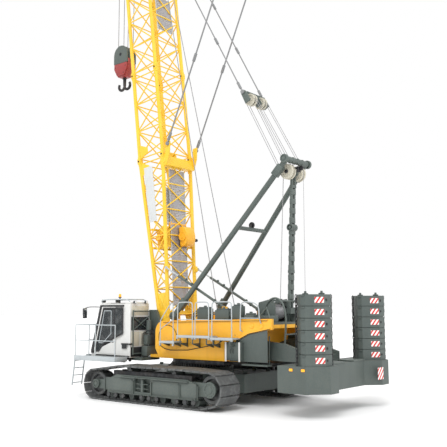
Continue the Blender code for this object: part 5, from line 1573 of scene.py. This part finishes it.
            machinery.append(bench.tube((-2.5, 1.14 + 0.08 * n, 3.16), (-2.64, 1.14 + 0.08 * n, 3.16), 0.024, 10))
        self.put('deck_machinery', machinery, Finish.SLAB)
        lids = bench.shifted(bench.block((-2.8, 0.76, 2.021), (-2.3, 1.24, 2.045), 0.01),
            [(0.6 * n, 0, 0) for n in range(4)])
        self.put('deck_lids', lids, Finish.SLAB)
        hoses = []
        for n in range(6):
            y = -0.5 + 0.07 * n
            hoses.append(bench.line([(-3.2, y, 2.86), (-3.05, y, 2.98 + 0.02 * n), (-2.88, y * 1.1, 2.8),
                (-2.8, y * 1.2, 2.3), (-2.74, y * 1.25, 1.8), (-2.7, y * 1.3, 1.675)], 0.022, sides=2))
        for n in range(5):
            y = 0.88 + 0.07 * n
            hoses.append(bench.line([(0.4, y, 1.7), (0.48, y, 2.05), (0.2, y, 2.42), (-0.12, y, 2.3),
                (-0.3, y, 1.95)], 0.018, sides=2))
        self.put('hydraulic_hoses', hoses, Finish.PLASTIC)
        clamps = [bench.block((-0.02, 0.84, 2.36), (0.1, 1.22, 2.42), 0.01)]
        self.put('hose_clamps', clamps, Finish.RAIL)
        motors = []
        for x in (-1.18, -2.28):
            for side in (1, -1):
                motors.append(bench.wheel((x, side * 0.642, 2.45), (x, side * 0.8, 2.45), 0.2, sides=28))
                motors.append(bench.tube((x, side * 0.79, 2.45), (x, side * 1.02, 2.45), 0.11, 20))
        self.put('winch_motors', motors, Finish.GREY)

    def a_frame(self) -> None:
        """Pins, gussets, crossbar sheave, ladder rungs and cylinders of the A-frame."""
        bench = self.bench
        foot, head = (Vector((0.22, 1.25, 3.12)), Vector((-4.55, 0.62, 8.62)))
        line = head - foot
        parts = []
        for side in (1, -1):
            low, high = sorted((side * 1.09, side * 1.41))
            parts.append(bench.wheel((0.22, low, 3.12), (0.22, high, 3.12), 0.075, sides=24))
        for share in (0.08, 0.93):
            spot = foot + line * share
            turn = line.to_track_quat('Z', 'Y').to_matrix().to_4x4()
            sleeve = bench.block((-0.125, -0.125, -0.22), (0.125, 0.125, 0.22), 0.02)
            parts += bench.both_sides(bench.copies(sleeve, [Matrix.Translation(spot) @ turn])[0])
        self.put('a_frame_sleeves', parts, Finish.GREY)
        knee = foot + line * 0.58
        legs = bench.both_sides(bench.tube(foot, head, 0.1, 20))
        legs += bench.both_sides(bench.tube(foot - Vector((0, 0.13, 0)), foot + Vector((0, 0.13, 0)), 0.15, 28))
        legs.append(bench.tube(knee - Vector((0, 2 * knee.y, 0)), knee, 0.075, 16))
        legs.append(bench.tube((head.x, -0.7, head.z), (head.x, 0.7, head.z), 0.11, 20))
        self.put('a_frame_tubes', legs, Finish.GREY, 'a_frame_legs')
        x, z = (knee.x, knee.z)
        sheave = [bench.wheel((x, -0.03, z + 0.16), (x, 0.03, z + 0.16), 0.12, sides=28),
            bench.block((x - 0.05, -0.07, z + 0.05), (x + 0.05, -0.045, z + 0.2), 0.01),
            bench.block((x - 0.05, 0.045, z + 0.05), (x + 0.05, 0.07, z + 0.2), 0.01)]
        self.put('crossbar_sheave', sheave, Finish.DARK)
        caps = []
        for side in (1, -1):
            low, high = sorted((side * 0.7, side * 0.805))
            caps.append(bench.wheel((-4.55, low, 8.62), (-4.55, high, 8.62), 0.155, sides=28))
        for y in (-0.3, 0.0, 0.3):
            caps.append(bench.block((-4.66, y - 0.05, 8.52), (-4.44, y + 0.05, 8.72), 0.02))
        self.put('mast_head_caps', caps, Finish.GREY)
        bits = [bench.tube((-4.6, 0.24, 8.34), (-4.94, 0.24, 8.3), 0.035, 12), bench.wheel((-4.92, 0.2, 8.3),
            (-4.92, 0.28, 8.3), 0.085, sides=24), bench.block((-4.86, 0.17, 8.16), (-4.76, 0.31, 8.38), 0.02)]
        self.put('tag_pulley', bits, Finish.DARK)
        tag = bench.rope((-5.0, 0.24, 8.3), (-6.0, 1.83, 3.92), 0.007, sag=0.0, steps=8)
        self.put('tag_line', tag, Finish.ROPE)
        top, low = (Vector((-4.42, 0.0, 8.22)), Vector((-4.22, 0.0, 3.3)))
        plates = []
        for share in frange(0.1, 0.86, 12):
            spot = low.lerp(top, share)
            plates.append(bench.block((spot.x - 0.052, -0.132, spot.z - 0.1), (spot.x + 0.052, 0.132, spot.z + 0.1),
                0.012))
        spot = low.lerp(top, 0.6)
        plates.append(bench.wheel((spot.x, -0.17, spot.z), (spot.x, 0.17, spot.z), 0.13, sides=24))
        self.put('rear_link_ties', plates, Finish.GREY)

    def engine_house(self) -> None:
        """Louvres, roof vents, exhaust, door panels with handles and hinges."""
        bench, outer = (self.bench, -2.56)
        louvres = []
        for x0, x1 in ((0.301, 0.325), (-4.325, -4.301)):
            louvres += bench.shifted(bench.block((x0, -2.4, 1.8), (x1, -1.68, 1.835), 0.006),
                [(0, 0, 0.075 * n) for n in range(14)])
        self.put('engine_house_louvres', louvres, Finish.PLASTIC)
        roof = [bench.block((-3.9, -2.45, 3.0205), (-2.4, -1.62, 3.07), 0.02), bench.block((-2.1, -2.45, 3.0205),
            (-0.1, -1.62, 3.07), 0.02)]
        roof += bench.shifted(bench.block((-3.82, -2.38, 3.07), (-3.79, -1.7, 3.1), 0.006),
            [(0.085 * n, 0, 0) for n in range(17)])
        self.put('engine_house_roof', roof, Finish.SLAB)
        pipe = [bench.line([(-2.25, -2.1, 3.02), (-2.25, -2.1, 3.45), (-2.28, -2.12, 3.62), (-2.42, -2.14, 3.7)],
            0.075, sides=5)]
        self.put('exhaust_pipe', pipe, Finish.DARK)
        for name, x0, x1 in (('front', -1.89, 0.09), ('rear', -4.09, -2.11)):
            skin = [bench.block((x0 + 0.1, outer - 0.052, 1.82), (x1 - 0.1, outer - 0.0405, 2.84), 0.02)]
            skin += bench.shifted(bench.block((x0 + 0.35, outer - 0.06, 2.42), (x1 - 0.35, outer - 0.05, 2.445),
                0.004), [(0, 0, 0.055 * n) for n in range(7)])
            bench.dress(f'engine_door_{name}_skin', skin, Finish.GREY, 'engine_door_' + name)
            fittings = [bench.block((x0 + 0.16, outer - 0.067, 2.2), (x0 + 0.28, outer - 0.051, 2.32), 0.01)]
            for z in (1.88, 2.78):
                fittings.append(bench.tube((x1 + 0.0, outer - 0.05, z - 0.06), (x1 + 0.0, outer - 0.05, z + 0.06),
                    0.018))
            bench.dress(f'engine_door_{name}_fittings', fittings, Finish.PLASTIC, 'engine_door_' + name)

    def backstops(self) -> None:
        """Spring collars on the backstop tubes."""
        bench = self.bench
        foot, eye = (Vector((-2.1, 0.955, 3.36)), Vector((0.59, 0.955, 4.86)))
        line = (eye - foot).normalized()
        parts = []
        for at in (0.35, 0.62, 1.9, 2.25):
            parts += bench.both_sides(bench.tube(foot + line * at, foot + line * (at + 0.06), 0.072, 20))
        bench.dress('backstop_collars', parts, Finish.GREY, 'backstop_tubes')

    def build(self) -> None:
        """Model all of it."""
        for step in (self.frame_panels, self.walkway, self.deck, self.a_frame, self.engine_house, self.backstops):
            step()


# ================================================================ counterweights
@dataclass
class Counterweights:
    """Lugs, bolts, bands, chains and lamps of the stacks and their base."""
    bench: Bench
    centre: float = -6.3
    spread: float = 1.83
    size: tuple[float, float] = (1.05, 1.26)
    height: float = 0.371
    base: float = 1.61
    levels: int = 6
    chamfer: float = 0.44

    def place_of_level(self, level: int) -> float:
        """The bottom of a slab."""
        return self.base + level * self.height

    def build(self) -> None:
        """Model all of it."""
        bench = self.bench
        half_x, half_y = (self.size[0] / 2, self.size[1] / 2)
        top = self.place_of_level(self.levels) - 0.018
        front = self.centre + half_x
        rear = self.centre - half_x
        for name, side in (('left', 1), ('right', -1)):
            y = side * self.spread
            lugs, plates, bolts = ([], [], [])
            for x in (self.centre - 0.3, self.centre + 0.3):
                lugs.append(bench.block((x - 0.09, y - 0.055, top + 0.001), (x + 0.09, y + 0.055, top + 0.05), 0.02))
                lugs.append(bench.tube((x, y, top + 0.04), (x, y, top + 0.115), 0.046, 16, tip=0.036))
            for level in range(self.levels):
                z = self.place_of_level(level)
                for face, sign in ((front, 1), (rear, -1)):
                    bolts.append(bench.wheel((face - sign * 0.012, y + 0.1, z + 0.18), (face + sign * 0.012, y + 0.1,
                        z + 0.18), 0.042, sides=18))
                for sign in (1, -1):
                    ends = [Vector((self.centre - sign * (half_x - share * self.chamfer),
                        y + sign * (half_y - self.chamfer + share * self.chamfer))) for share in (0.04, 0.52)]
                    proud = Vector((-sign, sign)).normalized()
                    plates.append(bench.plate([ends[0] + proud * 0.0005, ends[1] + proud * 0.0005,
                        ends[1] + proud * 0.004, ends[0] + proud * 0.004], z + 0.09, z + 0.27, 'Z', edge=0.0))
                    lugs.append(bench.block((self.centre - 0.055, y + sign * (half_y - 0.012), z + 0.3),
                        (self.centre + 0.055, y + sign * (half_y + 0.04), z + 0.34), 0.008))
            bench.dress(name + '_slab_lugs', lugs, Finish.SLAB, 'superstructure')
            bench.dress(name + '_slab_bands', plates, Finish.WARNING, 'superstructure')
            bench.dress(name + '_slab_bolts', bolts, Finish.DARK, 'superstructure')
            links = []
            turn = math.radians(90.0)
            for sign in (1, -1):
                x = self.centre + sign * (half_x - self.chamfer / 2 + 0.05)
                yy = y + sign * (half_y - self.chamfer / 2 + 0.05)
                for n in range(19):
                    z = self.base + 0.07 + n * 0.115
                    links.append(Matrix.Translation((x, yy, z)) @ Matrix.Rotation(turn * (n % 2), 4, 'Z'))
            link = bench.line([(0.032, 0, -0.045), (0.032, 0, 0.045), (0.0, 0, 0.075), (-0.032, 0, 0.045),
                (-0.032, 0, -0.045), (0.0, 0, -0.075), (0.032, 0, -0.045)], 0.015, sides=1, smooth=False)
            bench.dress(name + '_stack_chains', bench.copies(link, links), Finish.DARK, 'superstructure')
        rear_face = -6.95
        bands = bench.block((rear_face - 0.006, -1.55, 0.98), (rear_face - HAIR, -1.15, 1.38), 0.0)
        bench.dress('base_bands', bands, Finish.WARNING, 'superstructure')
        lamps = []
        for x in (-6.3, -5.86):
            for sign in (1, -1):
                lamps.append(bench.block((x - 0.06, sign * 2.5005, 1.46), (x + 0.06, sign * 2.53, 1.54), 0.01))
        bench.dress('base_lamps', lamps, Finish.AMBER, 'superstructure')
        rims = [bench.block((-6.4, -2.4, 0.7605), (-5.5, 2.4, 0.7795), 0.006)]
        for sign in (1, -1):
            rims.append(bench.block((-6.52, sign * 0.3, 1.612), (-5.9, sign * 1.1, 1.66), 0.012))
            rims.append(bench.wheel((-5.62, sign * 0.6, 1.611), (-5.62, sign * 0.6, 1.66), 0.12, sides=28))
        bench.dress('base_fittings', rims, Finish.GREY, 'superstructure')
        LOG.info('counterweights dressed')


# ================================================================ cab
@dataclass
class Cab(Fittings):
    """The driver's cab: glazing, frames, sliding door, seat, platform fittings and what carries it."""
    rear: float = 1.7
    front: float = 3.9
    right: float = 1.1
    roof: float = 3.6
    slope: float = 0.2811

    def screen(self, z: float, out: float=0.0) -> float:
        """Where the sloping screen stands at a height."""
        return self.front - max(z - 1.75, 0.0) * self.slope + out

    def framed(self, outline: Sequence[Point], low: float, high: float, rim: float, axis: str='Y') -> Piece:
        """A flat ring: a plate whose two faces are inset and bridged into an opening.

        Args:
            outline: The ring's outer corners.
            low: Where its first face stands along the axis.
            high: Where its second face stands.
            rim: Width of the ring.
            axis: The axis that it is laid across.

        Returns:
            The ring.
        """
        item = self.bench.plate(outline, low, high, axis, edge=0.0)
        number = 'XYZ'.index(axis)
        self.bench.clear()
        item.select_set(True)
        self.bench.pick(item, lambda face: abs(face.normal[number]) > 0.99)
        bpy.ops.mesh.inset(thickness=rim, depth=0.0)
        bpy.ops.mesh.bridge_edge_loops()
        bpy.ops.mesh.select_all(action='SELECT')
        bpy.ops.mesh.normals_make_consistent(inside=False)
        self.bench.done()
        return item

    def side_glazing(self) -> None:
        """The big side window on the sliding door, its frame, mullion, handle and rail."""
        bench, face = (self.bench, 2.1455)
        outline = [(3.655, 1.72), (3.185, 3.445), (2.06, 3.445), (2.06, 2.43), (2.49, 2.26), (3.12, 2.03),
            (3.4, 1.72)]
        frame = [self.framed(outline, face, face + 0.022, 0.062), bench.block((2.5, face, 2.3),
            (2.59, face + 0.018, 3.42), 0.006)]
        bench.dress('side_window_frame', frame, Finish.PLASTIC, 'cab_door')
        panes = bench.plate(outline, face + 0.002, face + 0.01, edge=0.0)
        bench.dress('side_window_glass', panes, Finish.SCREEN, 'cab_door')
        inner = [self.framed([(3.42, 2.06), (3.12, 3.33), (2.7, 3.33), (2.7, 2.43), (3.16, 2.06)], face + 0.0105,
            face + 0.019, 0.026)]
        bench.dress('side_window_slider', inner, Finish.RAIL, 'cab_door')
        fittings = [bench.line([(2.62, face, 2.105), (2.62, face + 0.04, 2.115), (2.62, face + 0.04, 2.18),
            (2.62, face, 2.19)], 0.01, sides=3), bench.block((2.575, face, 2.098), (2.665, face + 0.01, 2.125),
            0.004)]
        bench.dress('cab_door_handle', fittings, Finish.PLASTIC, 'cab_door')
        skirt = bench.block((2.53, face, 1.66), (3.34, face + 0.006, 1.7), 0.003)
        bench.dress('cab_door_trim', skirt, Finish.WHITE, 'cab_door')
        pillar = [bench.plate([(3.885, 1.66), (3.885, 1.78), (3.375, 3.54), (3.235, 3.54), (3.725, 1.72),
            (3.725, 1.66)], 2.1005, 2.146, edge=0.004), bench.block((2.05, 2.1005, 3.476), (3.3, 2.146, 3.54),
            0.004)]
        self.put('front_pillar_cover', pillar, Finish.PLASTIC)
        rail = [bench.block((1.655, 2.02, 2.03), (1.684, 2.16, 2.085), 0.004), bench.block((1.655, 2.147, 2.03),
            (2.14, 2.16, 2.085), 0.004), bench.block((1.84, 2.1475, 1.88), (2.1, 2.158, 2.031), 0.004),
            bench.block((1.72, 2.1005, 1.585), (3.66, 2.15, 1.615), 0.006)]
        self.put('door_guide_rails', rail, Finish.PLASTIC)

    def front_glazing(self) -> None:
        """The windscreen's frame, wipers, right, rear and roof glass with their seals."""
        bench = self.bench
        screen = []
        for y in (1.12, 2.045):
            outline = [(self.screen(1.78), 1.78), (self.screen(3.52), 3.52), (self.screen(3.52, 0.028), 3.52),
                (self.screen(1.78, 0.028), 1.78)]
            screen.append(bench.plate(outline, y, y + 0.045, edge=0.004))
        for z0, z1 in ((1.765, 1.82), (2.36, 2.4), (3.46, 3.52)):
            outline = [(self.screen(z0), z0), (self.screen(z1), z1), (self.screen(z1, 0.026), z1),
                (self.screen(z0, 0.026), z0)]
            screen.append(bench.plate(outline, 1.12, 2.09, edge=0.004))
        self.put('windscreen_frame', screen, Finish.PLASTIC)
        glass = bench.plate([(self.screen(1.82, 0.004), 1.82), (self.screen(3.46, 0.004), 3.46),
            (self.screen(3.46, 0.012), 3.46), (self.screen(1.82, 0.012), 1.82)], 1.165, 2.045, edge=0.0)
        self.put('windscreen_glass', glass, Finish.SCREEN, 'windscreen')
        wipers = [bench.line([(self.screen(1.84, 0.04), 1.6, 1.84), (self.screen(2.25, 0.046), 1.48, 2.25),
            (self.screen(2.75, 0.04), 1.36, 2.75)], 0.009, sides=2, smooth=False),
            bench.line([(self.screen(2.35, 0.036), 1.3, 2.35), (self.screen(3.1, 0.036), 1.42, 3.1)], 0.012, sides=2,
            smooth=False), bench.wheel((self.screen(1.83, 0.026), 1.6, 1.83), (self.screen(1.83, 0.052), 1.6, 1.835),
            0.028, sides=16)]
        self.put('wipers', wipers, Finish.PLASTIC)
        right = [(1.9, 2.35), (3.55, 1.95), (3.22, 3.4), (1.9, 3.4)]
        back = [(1.15, 2.58), (2.05, 2.58), (2.05, 3.08), (1.15, 3.08)]
        above = [(2.05, 1.28), (3.0, 1.28), (3.0, 1.92), (2.05, 1.92)]
        seals = [self.framed(right, self.right - 0.014, self.right - 0.0005, 0.045),
            self.framed(back, self.rear - 0.02, self.rear - 0.0005, 0.045, 'X'),
            self.framed(above, self.roof + 0.0005, self.roof + 0.018, 0.045, 'Z')]
        self.put('window_seals', seals, Finish.PLASTIC)
        panes = [bench.plate(right, self.right - 0.008, self.right - 0.002, edge=0.0),
            bench.plate(back, self.rear - 0.01, self.rear - 0.004, 'X', edge=0.0),
            bench.plate(above, self.roof + 0.002, self.roof + 0.008, 'Z', edge=0.0)]
        self.put('cab_panes', panes, Finish.SCREEN)

    def body_fittings(self) -> None:
        """Rear wall panels and vents, roof rails and caps, lamps, beacon and mirror."""
        bench = self.bench
        panels = [bench.block((self.rear - 0.016, 1.16, 1.98), (self.rear - 0.0005, 1.58, 2.52), 0.008),
            bench.block((self.rear - 0.016, 1.62, 1.98), (self.rear - 0.0005, 2.04, 2.52), 0.008),
            bench.block((self.rear - 0.016, 1.16, 3.14), (self.rear - 0.0005, 2.04, 3.5), 0.008)]
        self.put('cab_rear_panels', panels, Finish.CREAM)
        vents = bench.shifted(bench.block((self.rear - 0.026, 1.22, 2.06), (self.rear - 0.0165, 1.52, 2.075), 0.003),
            [(0, 0, 0.045 * n) for n in range(9)])
        vents.append(bench.block((self.rear - 0.014, 1.13, 1.57), (self.rear - 0.0005, 2.07, 1.94), 0.006))
        self.put('cab_rear_vents', vents, Finish.PLASTIC)
        roof = []
        for y in (1.14, 2.045):
            roof.append(bench.line([(3.36, y, 3.62), (3.42, y, 3.68), (3.36, y, 3.74), (2.9, y, 3.76), (2.3, y, 3.76),
                (1.84, y, 3.75), (1.76, y, 3.62)], 0.021, sides=4))
        for x in (1.95, 2.85):
            roof.append(bench.tube((x, 1.14, 3.755), (x, 2.045, 3.755), 0.018, 12))
        self.put('roof_guard_rails', roof, Finish.RAIL)
        cap = [bench.block((1.72, 1.12, 3.6005), (2.02, 2.08, 3.66), 0.02), bench.block((3.04, 1.12, 3.6005),
            (3.32, 2.08, 3.635), 0.012)]
        self.put('roof_caps', cap, Finish.WHITE)
        bodies, lenses = ([], [])
        for y in (1.22, 1.94):
            bodies += [bench.block((3.34, y - 0.07, 3.64), (3.44, y + 0.07, 3.76), 0.02),
                bench.block((3.37, y - 0.015, 3.58), (3.41, y + 0.015, 3.65), 0.004)]
            lenses.append(bench.wheel((3.435, y, 3.7), (3.452, y, 3.7), 0.052, web=0.8, sides=24))
        for y in (1.3, 1.9):
            bodies.append(bench.block((1.62, y - 0.06, 3.6), (1.7, y + 0.06, 3.7), 0.015))
            lenses.append(bench.block((1.61, y - 0.05, 3.61), (1.6205, y + 0.05, 3.69), 0.006))
        bodies.append(bench.tube((2.83, 1.6, 3.6), (2.83, 1.6, 3.83), 0.026, 12))
        bodies.append(bench.wheel((2.83, 1.6, 3.83), (2.83, 1.6, 3.86), 0.062, sides=24))
        self.put('roof_lamp_bodies', bodies, Finish.PLASTIC)
        self.put('roof_lamp_lenses', lenses, Finish.LAMP)
        beacon = bench.tube((2.83, 1.6, 3.86), (2.83, 1.6, 3.985), 0.056, 24, tip=0.044, rim=0.35)
        self.put('roof_beacon', beacon, Finish.AMBER)
        mirror = [bench.line([(3.4, 2.06, 3.46), (3.7, 2.16, 3.48), (4.06, 2.28, 3.46), (4.11, 2.3, 3.4)], 0.014,
            sides=3), bench.block((4.085, 2.2, 3.02), (4.14, 2.4, 3.42), 0.022)]
        self.put('mirror_arm', mirror, Finish.PLASTIC)
        glass = bench.block((4.0795, 2.215, 3.035), (4.085, 2.385, 3.405), 0.0015)
        self.put('mirror_glass', glass, Finish.MIRROR)

    def cushion(self, name: str, low: Point, high: Point, slack: float) -> None:
        """A crowned cushion: pinched in at its edges between the corners, with sewn channels.

        Args:
            name: The piece's name.
            low: Its lowest corner.
            high: Its highest corner.
            slack: How far its broad faces swell.
        """
        bench = self.bench
        item = bench.block(low, high, 0.03)
        step = item.modifiers.new('cloth', 'REMESH')
        step.mode = 'VOXEL'
        step.voxel_size = 0.012
        bpy.ops.object.modifier_apply(modifier=step.name)
        middle = (Vector(low) + Vector(high)) / 2
        half = (Vector(high) - Vector(low)) / 2
        thin = min(range(3), key=lambda n: half[n])
        wide = [n for n in range(3) if n != thin]
        for vertex in item.data.vertices:
            share = [(vertex.co[n] - middle[n]) / half[n] for n in range(3)]
            dome = max(0.0, 1.0 - share[wide[0]] ** 2) * max(0.0, 1.0 - share[wide[1]] ** 2)
            channel = 0.35 * math.exp(-((abs(share[wide[0]]) - 0.52) / 0.05) ** 2)
            vertex.co[thin] += math.copysign(slack * (dome ** 0.6 - channel), share[thin]) if abs(
                share[thin]) > 0.5 else 0.0
            for a, b in (wide, wide[::-1]):
                if abs(share[a]) > 0.8:
                    vertex.co[a] -= math.copysign(0.012 * (1.0 - share[b] ** 2), share[a])
        step = item.modifiers.new('soften', 'SMOOTH')
        step.iterations = 3
        bpy.ops.object.modifier_apply(modifier=step.name)
        self.put(name, item, Finish.CLOTH)

    def driver_place(self) -> None:
        """Seat with its cushions, arm rests and column, console, levers and pedals."""
        bench = self.bench
        self.cushion('seat_cushion', (2.12, 1.36, 2.0), (2.66, 1.84, 2.13), 0.018)
        self.cushion('seat_back', (1.98, 1.37, 2.14), (2.09, 1.83, 2.72), 0.015)
        self.cushion('head_rest', (1.99, 1.46, 2.75), (2.08, 1.74, 2.9), 0.01)
        base = [bench.block((2.18, 1.42, 1.61), (2.6, 1.78, 1.66), 0.01), bench.tube((2.39, 1.6, 1.65),
            (2.39, 1.6, 1.9), 0.085, 20, tip=0.06), bench.block((2.1, 1.37, 1.9), (2.64, 1.83, 1.975), 0.02),
            bench.block((1.94, 1.42, 1.95), (1.968, 1.78, 2.7), 0.012),
            bench.line([(1.955, 1.54, 2.66), (1.96, 1.54, 2.86)], 0.009, sides=2, smooth=False),
            bench.line([(1.955, 1.66, 2.66), (1.96, 1.66, 2.86)], 0.009, sides=2, smooth=False)]
        self.put('seat_frame', base, Finish.PLASTIC, 'operator_seat')
        pods = []
        for y in (1.25, 1.95):
            pods += [bench.block((2.15, y - 0.055, 2.22), (2.66, y + 0.055, 2.31), 0.02),
                bench.block((2.3, y - 0.03, 1.61), (2.4, y + 0.03, 2.22), 0.012), bench.tube((2.56, y, 2.31),
                (2.58, y, 2.46), 0.01, 10), bench.tube((2.58, y, 2.44), (2.585, y, 2.52), 0.02, 12, tip=0.024)]
        self.put('control_pods', pods, Finish.PLASTIC)
        console = [bench.block((3.18, 1.2, 2.2), (3.24, 1.48, 2.44), 0.015), bench.block((3.19, 1.3, 1.61),
            (3.23, 1.38, 2.2), 0.008)]
        for y in (1.5, 1.62, 1.74):
            console.append(bench.plate([(3.3, 1.66), (3.42, 1.74), (3.41, 1.755), (3.29, 1.675)], y, y + 0.07,
                edge=0.004))
        self.put('console', console, Finish.SLAB)
        display = bench.block((3.1735, 1.22, 2.22), (3.1795, 1.46, 2.42), 0.002)
        self.put('console_display', display, Finish.SCREEN)

    def carrier(self) -> None:
        """Mounts, cross struts, hoses and the tilting bracket behind and under the cab."""
        bench = self.bench
        parts = [bench.block((1.74, 1.14, 1.47), (3.8, 1.26, 1.549), 0.01), bench.block((1.74, 1.94, 1.47),
            (3.8, 2.06, 1.549), 0.01)]
        for x in (1.95, 2.7, 3.45):
            parts.append(bench.block((x - 0.05, 1.26, 1.48), (x + 0.05, 1.94, 1.545), 0.008))
        for x in (1.8, 3.7):
            for y in (1.2, 2.0):
                parts.append(bench.wheel((x, y, 1.4), (x, y, 1.471), 0.055, sides=20))
        self.put('cab_mounts', parts, Finish.PLASTIC)
        struts = []
        for a, b in (((1.655, 1.14, 2.56), (1.655, 2.02, 3.1)), ((1.655, 2.02, 2.56), (1.655, 1.14, 3.1)),
                ((1.62, 1.14, 1.7), (1.62, 2.02, 1.7)), ((1.62, 1.14, 3.3), (1.62, 2.02, 3.3))):
            struts.append(bench.tube(a, b, 0.022, 10))
        for y in (1.14, 2.02):
            struts.append(bench.tube((1.62, y, 1.66), (1.62, y, 3.34), 0.026, 12))
        self.put('cab_rear_struts', struts, Finish.GREY)
        belly = [bench.block((1.3, 1.12, 1.6), (1.6, 1.6, 1.98), 0.02), bench.block((1.36, 1.16, 2.02),
            (1.58, 1.52, 2.4), 0.02), bench.tube((1.46, 1.34, 2.44), (1.46, 1.34, 2.96), 0.1, 20)]
        self.put('cab_carrier_boxes', belly, Finish.SLAB)
        hoses = []
        for n in range(4):
            y = 1.2 + 0.08 * n
            hoses.append(bench.line([(1.28, y, 2.0), (1.2, y, 2.3), (1.3, y, 2.6), (1.5, y, 2.52), (1.66, y, 2.45)],
                0.015, sides=2))
        self.put('cab_hoses', hoses, Finish.PLASTIC)

    def platform(self) -> None:
        """Deck treads, fascia, toe boards and brackets of the walkway round the cab."""
        bench = self.bench
        treads = bench.shifted(bench.block((1.815, 2.165, 1.5405), (1.835, 2.745, 1.556), 0.0),
            [(0.06 * n, 0, 0) for n in range(39)])
        self.put('platform_treads', treads, Finish.RAIL)
        fascia = [bench.block((1.8, 2.7705, 1.41), (4.16, 2.782, 1.6), 0.004), bench.block((1.789, 2.16, 1.41),
            (1.7995, 2.77, 1.6), 0.004), bench.block((4.1605, 1.3, 1.41), (4.172, 2.16, 1.6), 0.004)]
        self.put('platform_fascia', fascia, Finish.RAIL)
        brackets = []
        for x in (1.95, 2.95, 3.95):
            brackets.append(bench.plate([(2.1, 1.36), (2.7, 1.42), (2.7, 1.459), (2.1, 1.459)], x - 0.02, x + 0.02,
                'X', edge=0.004))
        self.put('platform_brackets', brackets, Finish.GREY)

    def build(self) -> None:
        """Model all of it."""
        for step in (self.side_glazing, self.front_glazing, self.body_fittings, self.driver_place, self.carrier,
                self.platform):
            step()


# ================================================================ stage
@dataclass
class Studio:
    """Camera, plain pale floor and soft light."""
    eye: Point = (-18.3487, 21.1106, 3.383)
    heading: float = math.radians(38.86)
    pitch: float = math.radians(6.86)
    roll: float = math.radians(-0.2)
    lens: float = 57.05
    floor_size: float = 600.0

    def camera(self) -> None:
        """Set up the camera, at the height of a standing viewer on a step."""
        bpy.ops.object.camera_add(location=self.eye)
        item = bpy.context.object
        item.name = 'camera'
        flat = math.cos(self.pitch)
        ahead = Vector((math.sin(self.heading) * flat, -math.cos(self.heading) * flat, math.sin(self.pitch)))
        turn = ahead.to_track_quat('-Z', 'Y').to_matrix().to_4x4() @ Matrix.Rotation(self.roll, 4, 'Z')
        item.matrix_world = Matrix.Translation(self.eye) @ turn
        item.data.lens = self.lens
        item.data.clip_end = 500.0
        bpy.context.scene.camera = item

    def light(self) -> None:
        """A bright even sky, a broad key from the cab's side and a soft sun."""
        world = bpy.context.scene.world or bpy.data.worlds.new('sky')
        bpy.context.scene.world = world
        world.use_nodes = True
        sky = world.node_tree.nodes['Background']
        sky.inputs['Color'].default_value = (1.0, 1.0, 1.0, 1.0)
        sky.inputs['Strength'].default_value = 1.0
        for name, direction, strength, spread in (('key', (-0.35, 0.75, 0.95), 1.35, 24.0),
                ('fill', (-0.9, -0.2, 0.6), 0.5, 50.0)):
            bpy.ops.object.light_add(type='SUN', location=Vector(direction) * 20.0)
            lamp = bpy.context.object
            lamp.name = name
            lamp.rotation_euler = Vector(direction).to_track_quat('Z', 'Y').to_euler()
            lamp.data.energy = strength
            lamp.data.angle = math.radians(spread)
        bpy.context.scene.view_settings.view_transform = 'Standard'

    def floor(self) -> None:
        """A pale floor."""
        bpy.ops.mesh.primitive_plane_add(size=self.floor_size, location=(0.0, 0.0, 0.0))
        item = bpy.context.object
        item.name = 'floor'
        graph = Graph('pale_floor')
        item.data.materials.append(graph.set(Base_Color=graph.mix(graph.noise(0.2), (0.93, 0.93, 0.93),
            (0.95, 0.95, 0.95)), Roughness=0.85))

    def build(self) -> None:
        """Set up all of the stage."""
        self.camera()
        self.light()
        self.floor()
        LOG.info('stage set')


def main() -> None:
    """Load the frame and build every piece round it."""
    logging.basicConfig(level=logging.INFO, format='%(name)s: %(message)s')
    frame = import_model()
    looks = Looks()
    looks.dress_nodes(frame['nodes'])
    axes = {joint['name']: Vector(joint['pos_m']) for joint in frame['joints'] if 'pos_m' in joint}
    home = Matrix.Translation((axes['slew'].x, 0.0, 0.0))
    bench = Bench(looks, home)
    boom_frame = home.inverted() @ Matrix.Translation(axes['boom_luff']) @ Matrix.Rotation(-BOOM_ANGLE, 4, 'Y')
    boom = Boom(bench, boom_frame)
    boom.build()
    Crawler(bench).build()
    Rigging(bench, boom).build()
    Upperstructure(bench).build()
    Counterweights(bench).build()
    Cab(bench).build()
    Studio().build()


if __name__ == '__main__':
    main()
